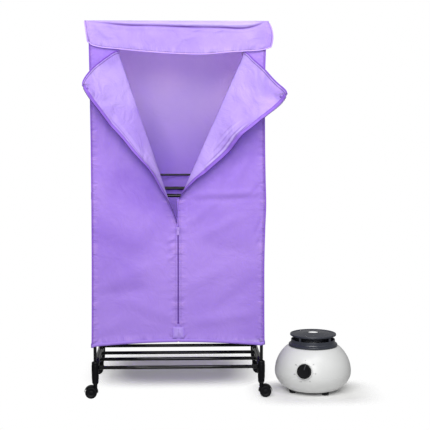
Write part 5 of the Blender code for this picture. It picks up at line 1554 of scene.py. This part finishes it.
@dataclass
class Blower(Part):
    """The hot air blower: white gloss shell, charcoal outlet with its deflector, timer dial and feet."""
    shell_r: float = 0.1585
    waist_z: float = 0.083
    crown: float = 0.144
    fall: float = 0.0965
    foot_z: float = 0.012
    brow_z: float = 0.184
    parting_z: float = 0.0814
    mouth_z: float = 0.189
    mouth_r: float = 0.093
    wall: float = 0.0028
    post_ring_r: float = 0.086
    knob_z: float = 0.112
    knob_r: float = 0.0295
    knob_deg: float = 16.0
    flutes: int = 30
    tick_r: float = 0.0352
    long_tick: tuple[float, float] = (0.0395, 0.00045)
    short_tick: tuple[float, float] = (0.0375, 0.00028)
    ink_wall: float = 0.00012
    number_ring_r: float = 0.0455
    number_size: float = 0.0072

    def radius(self, z: Array | float) -> Array:
        """Half the shell's width at a height: one ellipse above the waist and a flatter one below."""
        fall = np.where(np.asarray(z) > self.waist_z, self.crown, self.fall)
        return self.shell_r * np.sqrt(1 - ((np.asarray(z) - self.waist_z) / fall) ** 2)

    def shell(self) -> None:
        """The housing: the two ellipses as one profile, a parting groove at the waist and a rolled mouth."""
        z = np.concatenate([np.linspace(self.foot_z, 0.0795, 26), np.linspace(0.0796, 0.0832, 9),
                            np.linspace(0.0834, self.brow_z, 44)])
        radius = self.radius(z) - 0.0009 * bell(z, self.parting_z, 0.0006)
        shoulder = rounded([(float(self.radius(self.brow_z)), self.brow_z), (0.1052, 0.1888),
                            (0.1036, self.mouth_z), (self.mouth_r, self.mouth_z)], 0.002, 5, closed=False)[1:]
        inside = stack(self.radius(z[::-2]) - self.wall, z[::-2])
        foot = [(float(self.radius(self.foot_z)) - self.wall, self.foot_z), (float(radius[0]), self.foot_z)]
        profile = np.concatenate([stack(radius, z), shoulder, [(self.mouth_r, self.mouth_z - self.wall)],
                                  inside, foot])
        self.piece("blower_housing", lathe(profile, 128), self.finishes.white, "blower", "white_gloss",
                   "blower_shell", sharp=40)

    def outlet(self) -> None:
        """The rim, collar and posts, and the ringed disc of the deflector."""
        rim = rounded([(0.0915, 0.1893), (0.0985, 0.1893), (0.1015, 0.1912), (0.1015, 0.1972),
                       (0.0985, 0.2003), (0.0945, 0.2003), (0.0925, 0.2022), (0.0915, 0.205),
                       (0.0915, 0.2166), (0.0908, 0.217), (0.0882, 0.217), (0.0875, 0.216),
                       (0.0875, 0.1773), (0.0915, 0.1773)], 0.0008, 4)
        shapes = Surface().grid(lathe([*rim, rim[0]], 96))
        post = rounded([(0.0, 0.2006), (0.005, 0.2006), (0.005, 0.233), (0.0042, 0.2358), (0.0, 0.2358)],
                       0.0006, 3, closed=False)
        for angle in np.radians(90.0 * (np.arange(4) + 0.72)):
            at = self.post_ring_r * np.array((math.cos(angle), math.sin(angle), 0.0))
            shapes.grid(lathe(post, 20) + at)
        settle(shapes.object("outlet_rim", self.place, self.finishes.charcoal, 40), "blower",
               "charcoal_gloss", "outlet_collar")
        cone_r = np.linspace(0.09, 0.0235, 26)
        cone_z = 0.2375 + 0.009 * (0.0955 - cone_r) / (0.0955 - 0.023) + 0.0004 * bell(cone_r, 0.062, 0.0012)
        lip = rounded([(0.0925, 0.2335), (0.0955, 0.2335), (0.0958, 0.2385), (0.095, 0.2405),
                       (0.0925, 0.2405), (0.0905, 0.2384)], 0.0009, 4, closed=False)
        under = [(0.0232, 0.2468), (0.0226, 0.2466), (0.0224, 0.244), (0.0232, 0.2432), (0.024, 0.2434),
                 (0.06, 0.239), (0.0915, 0.2349)]
        disc = lathe([*lip, *zip(cone_r, cone_z), *under, lip[0]], 96)
        self.piece("deflector_cone", disc, self.finishes.charcoal, "blower", "charcoal_gloss",
                   "deflector_disc", sharp=40)

    def skin(self, side: Array, up: Array, raised: Array | float) -> Array:
        """Points on the shell round the timer, raised by a distance off the skin.

        A distance sideways turns about the upright axis, and one upwards climbs the profile by its arc
        length.
        """
        z = np.linspace(0.02, 0.183, 600)
        arc = np.concatenate([[0.0], np.cumsum(np.hypot(np.diff(self.radius(z)), np.diff(z)))])
        height = np.interp(np.interp(self.knob_z, z, arc) + up, arc, z)
        around = self.radius(height)
        slope_out = around / self.shell_r ** 2
        slope_up = (height - self.waist_z) / np.where(height > self.waist_z, self.crown, self.fall) ** 2
        size, angle = np.hypot(slope_out, slope_up), side / around
        out, above = around + slope_out / size * raised, height + slope_up / size * raised
        return stack(np.sin(angle) * out, -np.cos(angle) * out, above)

    def dial(self) -> None:
        """The printed dial: ticks, each an end and half a width, and plain numbers round the knob."""
        ticks = Surface()
        for k, a in enumerate(np.radians(np.linspace(0.0, 300.0, 31))):
            end, width = self.long_tick if k % 5 == 0 else self.short_tick
            r, w = np.meshgrid(np.linspace(self.tick_r, end, 4), np.linspace(-1, 1, 3) * width, indexing="ij")
            side, up = r * math.sin(a) + w * math.cos(a), r * math.cos(a) - w * math.sin(a)
            ticks.grid(self.skin(side, up, 0.00018), flip=True)
        marks = thicken(ticks.object("dial_ticks", self.place, self.finishes.ink), self.ink_wall)
        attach(marks, "blower")
        for k, word in enumerate(("0", "30", "60", "90", "120", "150", "180")):
            a = math.radians(50.0 * k)
            self.number(word, self.number_ring_r * math.sin(a), self.number_ring_r * math.cos(a))

    def number(self, word: str, side: float, up: float) -> None:
        """One number of the dial: text made a thin mesh, then laid on the shell point by point."""
        curve = bpy.data.curves.new("dial_number", "FONT")
        curve.body, curve.size, curve.extrude = word, self.number_size, 0.00008
        curve.align_x, curve.align_y, curve.resolution_u = "CENTER", "CENTER", 3
        text = link("dial_number_text", curve)
        mesh = bpy.data.meshes.new_from_object(text.evaluated_get(bpy.context.evaluated_depsgraph_get()))
        bpy.data.objects.remove(text, do_unlink=True)
        flat = np.zeros(len(mesh.vertices) * 3)
        mesh.vertices.foreach_get("co", flat)
        x, y, z = flat.reshape(-1, 3).T
        mesh.vertices.foreach_set("co", self.place(self.skin(x + side, y + up, z + 0.00015)).ravel())
        mesh.update()
        mesh.materials.clear()
        mesh.materials.append(self.finishes.ink)
        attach(link(f"dial_number_{word}", mesh), "blower")

    def knob(self) -> None:
        """The timer's knob and bezel on the shell's slope: a fluted grip, a dished face, a raised pointer.

        The radius is a profile carried round its axis, drawn in by the cube of half a raised cosine of the
        flutes on the grip.
        """
        around = float(self.radius(self.knob_z))
        axis = unit((0.0, -around / self.shell_r ** 2, (self.knob_z - self.waist_z) / self.crown ** 2))
        turn = basis((1.0, 0.0, 0.0), np.cross(axis, (1.0, 0.0, 0.0)), axis)
        spot = self.place.inner((0.0, -around, self.knob_z), turn)
        r = self.knob_r
        skirt = [(0.0, -0.0215), (0.003, -0.0215), (0.003, 0.0009), (r - 0.0006, 0.0009)]
        grip = [(r, 0.0016), (r, 0.003), (r - 0.001, 0.004), (r - 0.0014, 0.013), (r - 0.0022, 0.0155),
                (r - 0.004, 0.0167), (r - 0.0065, 0.0166), (r - 0.008, 0.016), (0.0, 0.0157)]
        shape = lathe([*skirt, *rounded(grip, 0.0008, 4, closed=False)], 240)
        angle = np.linspace(0, FULL_TURN, 241)
        held = dome((shape[..., 2] - 0.0035) / 0.0125) ** 0.4 * (np.hypot(*shape.T[:2]).T > r - 0.004)
        bezel = [(0.0312, -0.001), (0.0342, -0.001), (0.034, 0.0006), (0.0334, 0.0011), (0.0322, 0.0011),
                 (0.0312, 0.0006), (0.0312, -0.001)]
        self.piece("timer_bezel", lathe(bezel, 96), self.finishes.white, "blower", "white_gloss", place=spot,
                   sharp=50)
        swell = 1 - 0.016 * held * (0.5 + 0.5 * np.cos(self.flutes * angle)) ** 3
        self.piece("timer_grip", fluted(shape, swell), self.finishes.knob, "timer_knob", "black_plastic",
                   "timer_knob", place=spot, sharp=55)
        bar = rounded([(-0.0013, 0.006), (0.0013, 0.006), (0.0013, 0.0265), (-0.0013, 0.0265)], 0.0008)
        bar = bar @ about_z(-self.knob_deg)[:2, :2].T
        self.piece("timer_pointer", prism(bar, 0.015, 0.0174, 0.0003), self.finishes.pointer, "timer_knob",
                   "black_plastic", place=spot, sharp=40)

    def build(self) -> None:
        """Builds the shell, the outlet, the dial and the knob."""
        self.shell()
        self.outlet()
        self.dial()
        self.knob()
        log.info("blower")


def dress_nodes(finishes: Finishes) -> None:
    """Gives the CAD nodes that stay in sight their materials."""
    corners = [f"corner_joint_{depth.value}_{side.word}" for depth in Depth for side in Side]
    for material, names in (
            (finishes.joint, [*corners, "mid_rail_left", "mid_rail_right", "blower_base", "cord_gland",
                              "timer", "fan"]),
            (finishes.charcoal, ["outlet_grille"]),
            (finishes.slider, ["zip_slider", "zip_pull"]),
            (finishes.motor, ["motor"]),
            (finishes.heater, ["heater"])):
        for name in names:
            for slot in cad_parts[name].material_slots:
                slot.material = material


def main() -> None:
    """Builds the studio and the dryer."""
    logging.basicConfig(level=logging.INFO, format="%(message)s")
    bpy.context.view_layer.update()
    head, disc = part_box("cover_head"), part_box("deflector_disc")
    cabinet = Place(np.array(((head[0].x + head[1].x) / 2, head[0].y, 0.0)))
    blower = Place(np.array(((disc[0].x + disc[1].x) / 2, (disc[0].y + disc[1].y) / 2, 0.0)), about_z(-19.6))
    Studio().build()
    finishes = Finishes()
    tubes = Tubes(cabinet, finishes)
    for part in (Cover(cabinet, finishes), Valance(cabinet, finishes), Zip(cabinet, finishes), tubes):
        part.build()
    for depth, y in ((Depth.FRONT, tubes.front_y), (Depth.BACK, tubes.back_y)):
        for side in Side:
            turn = about_z(0.0 if side is Side.RIGHT else 180.0)
            spot = cabinet.inner((side.value * tubes.post_x, y, 0.0), turn)
            Caster(spot, finishes, f"{depth.value}_{side.word}").build()
    Blower(blower, finishes).build()
    dress_nodes(finishes)


if __name__ == "__main__":
    main()
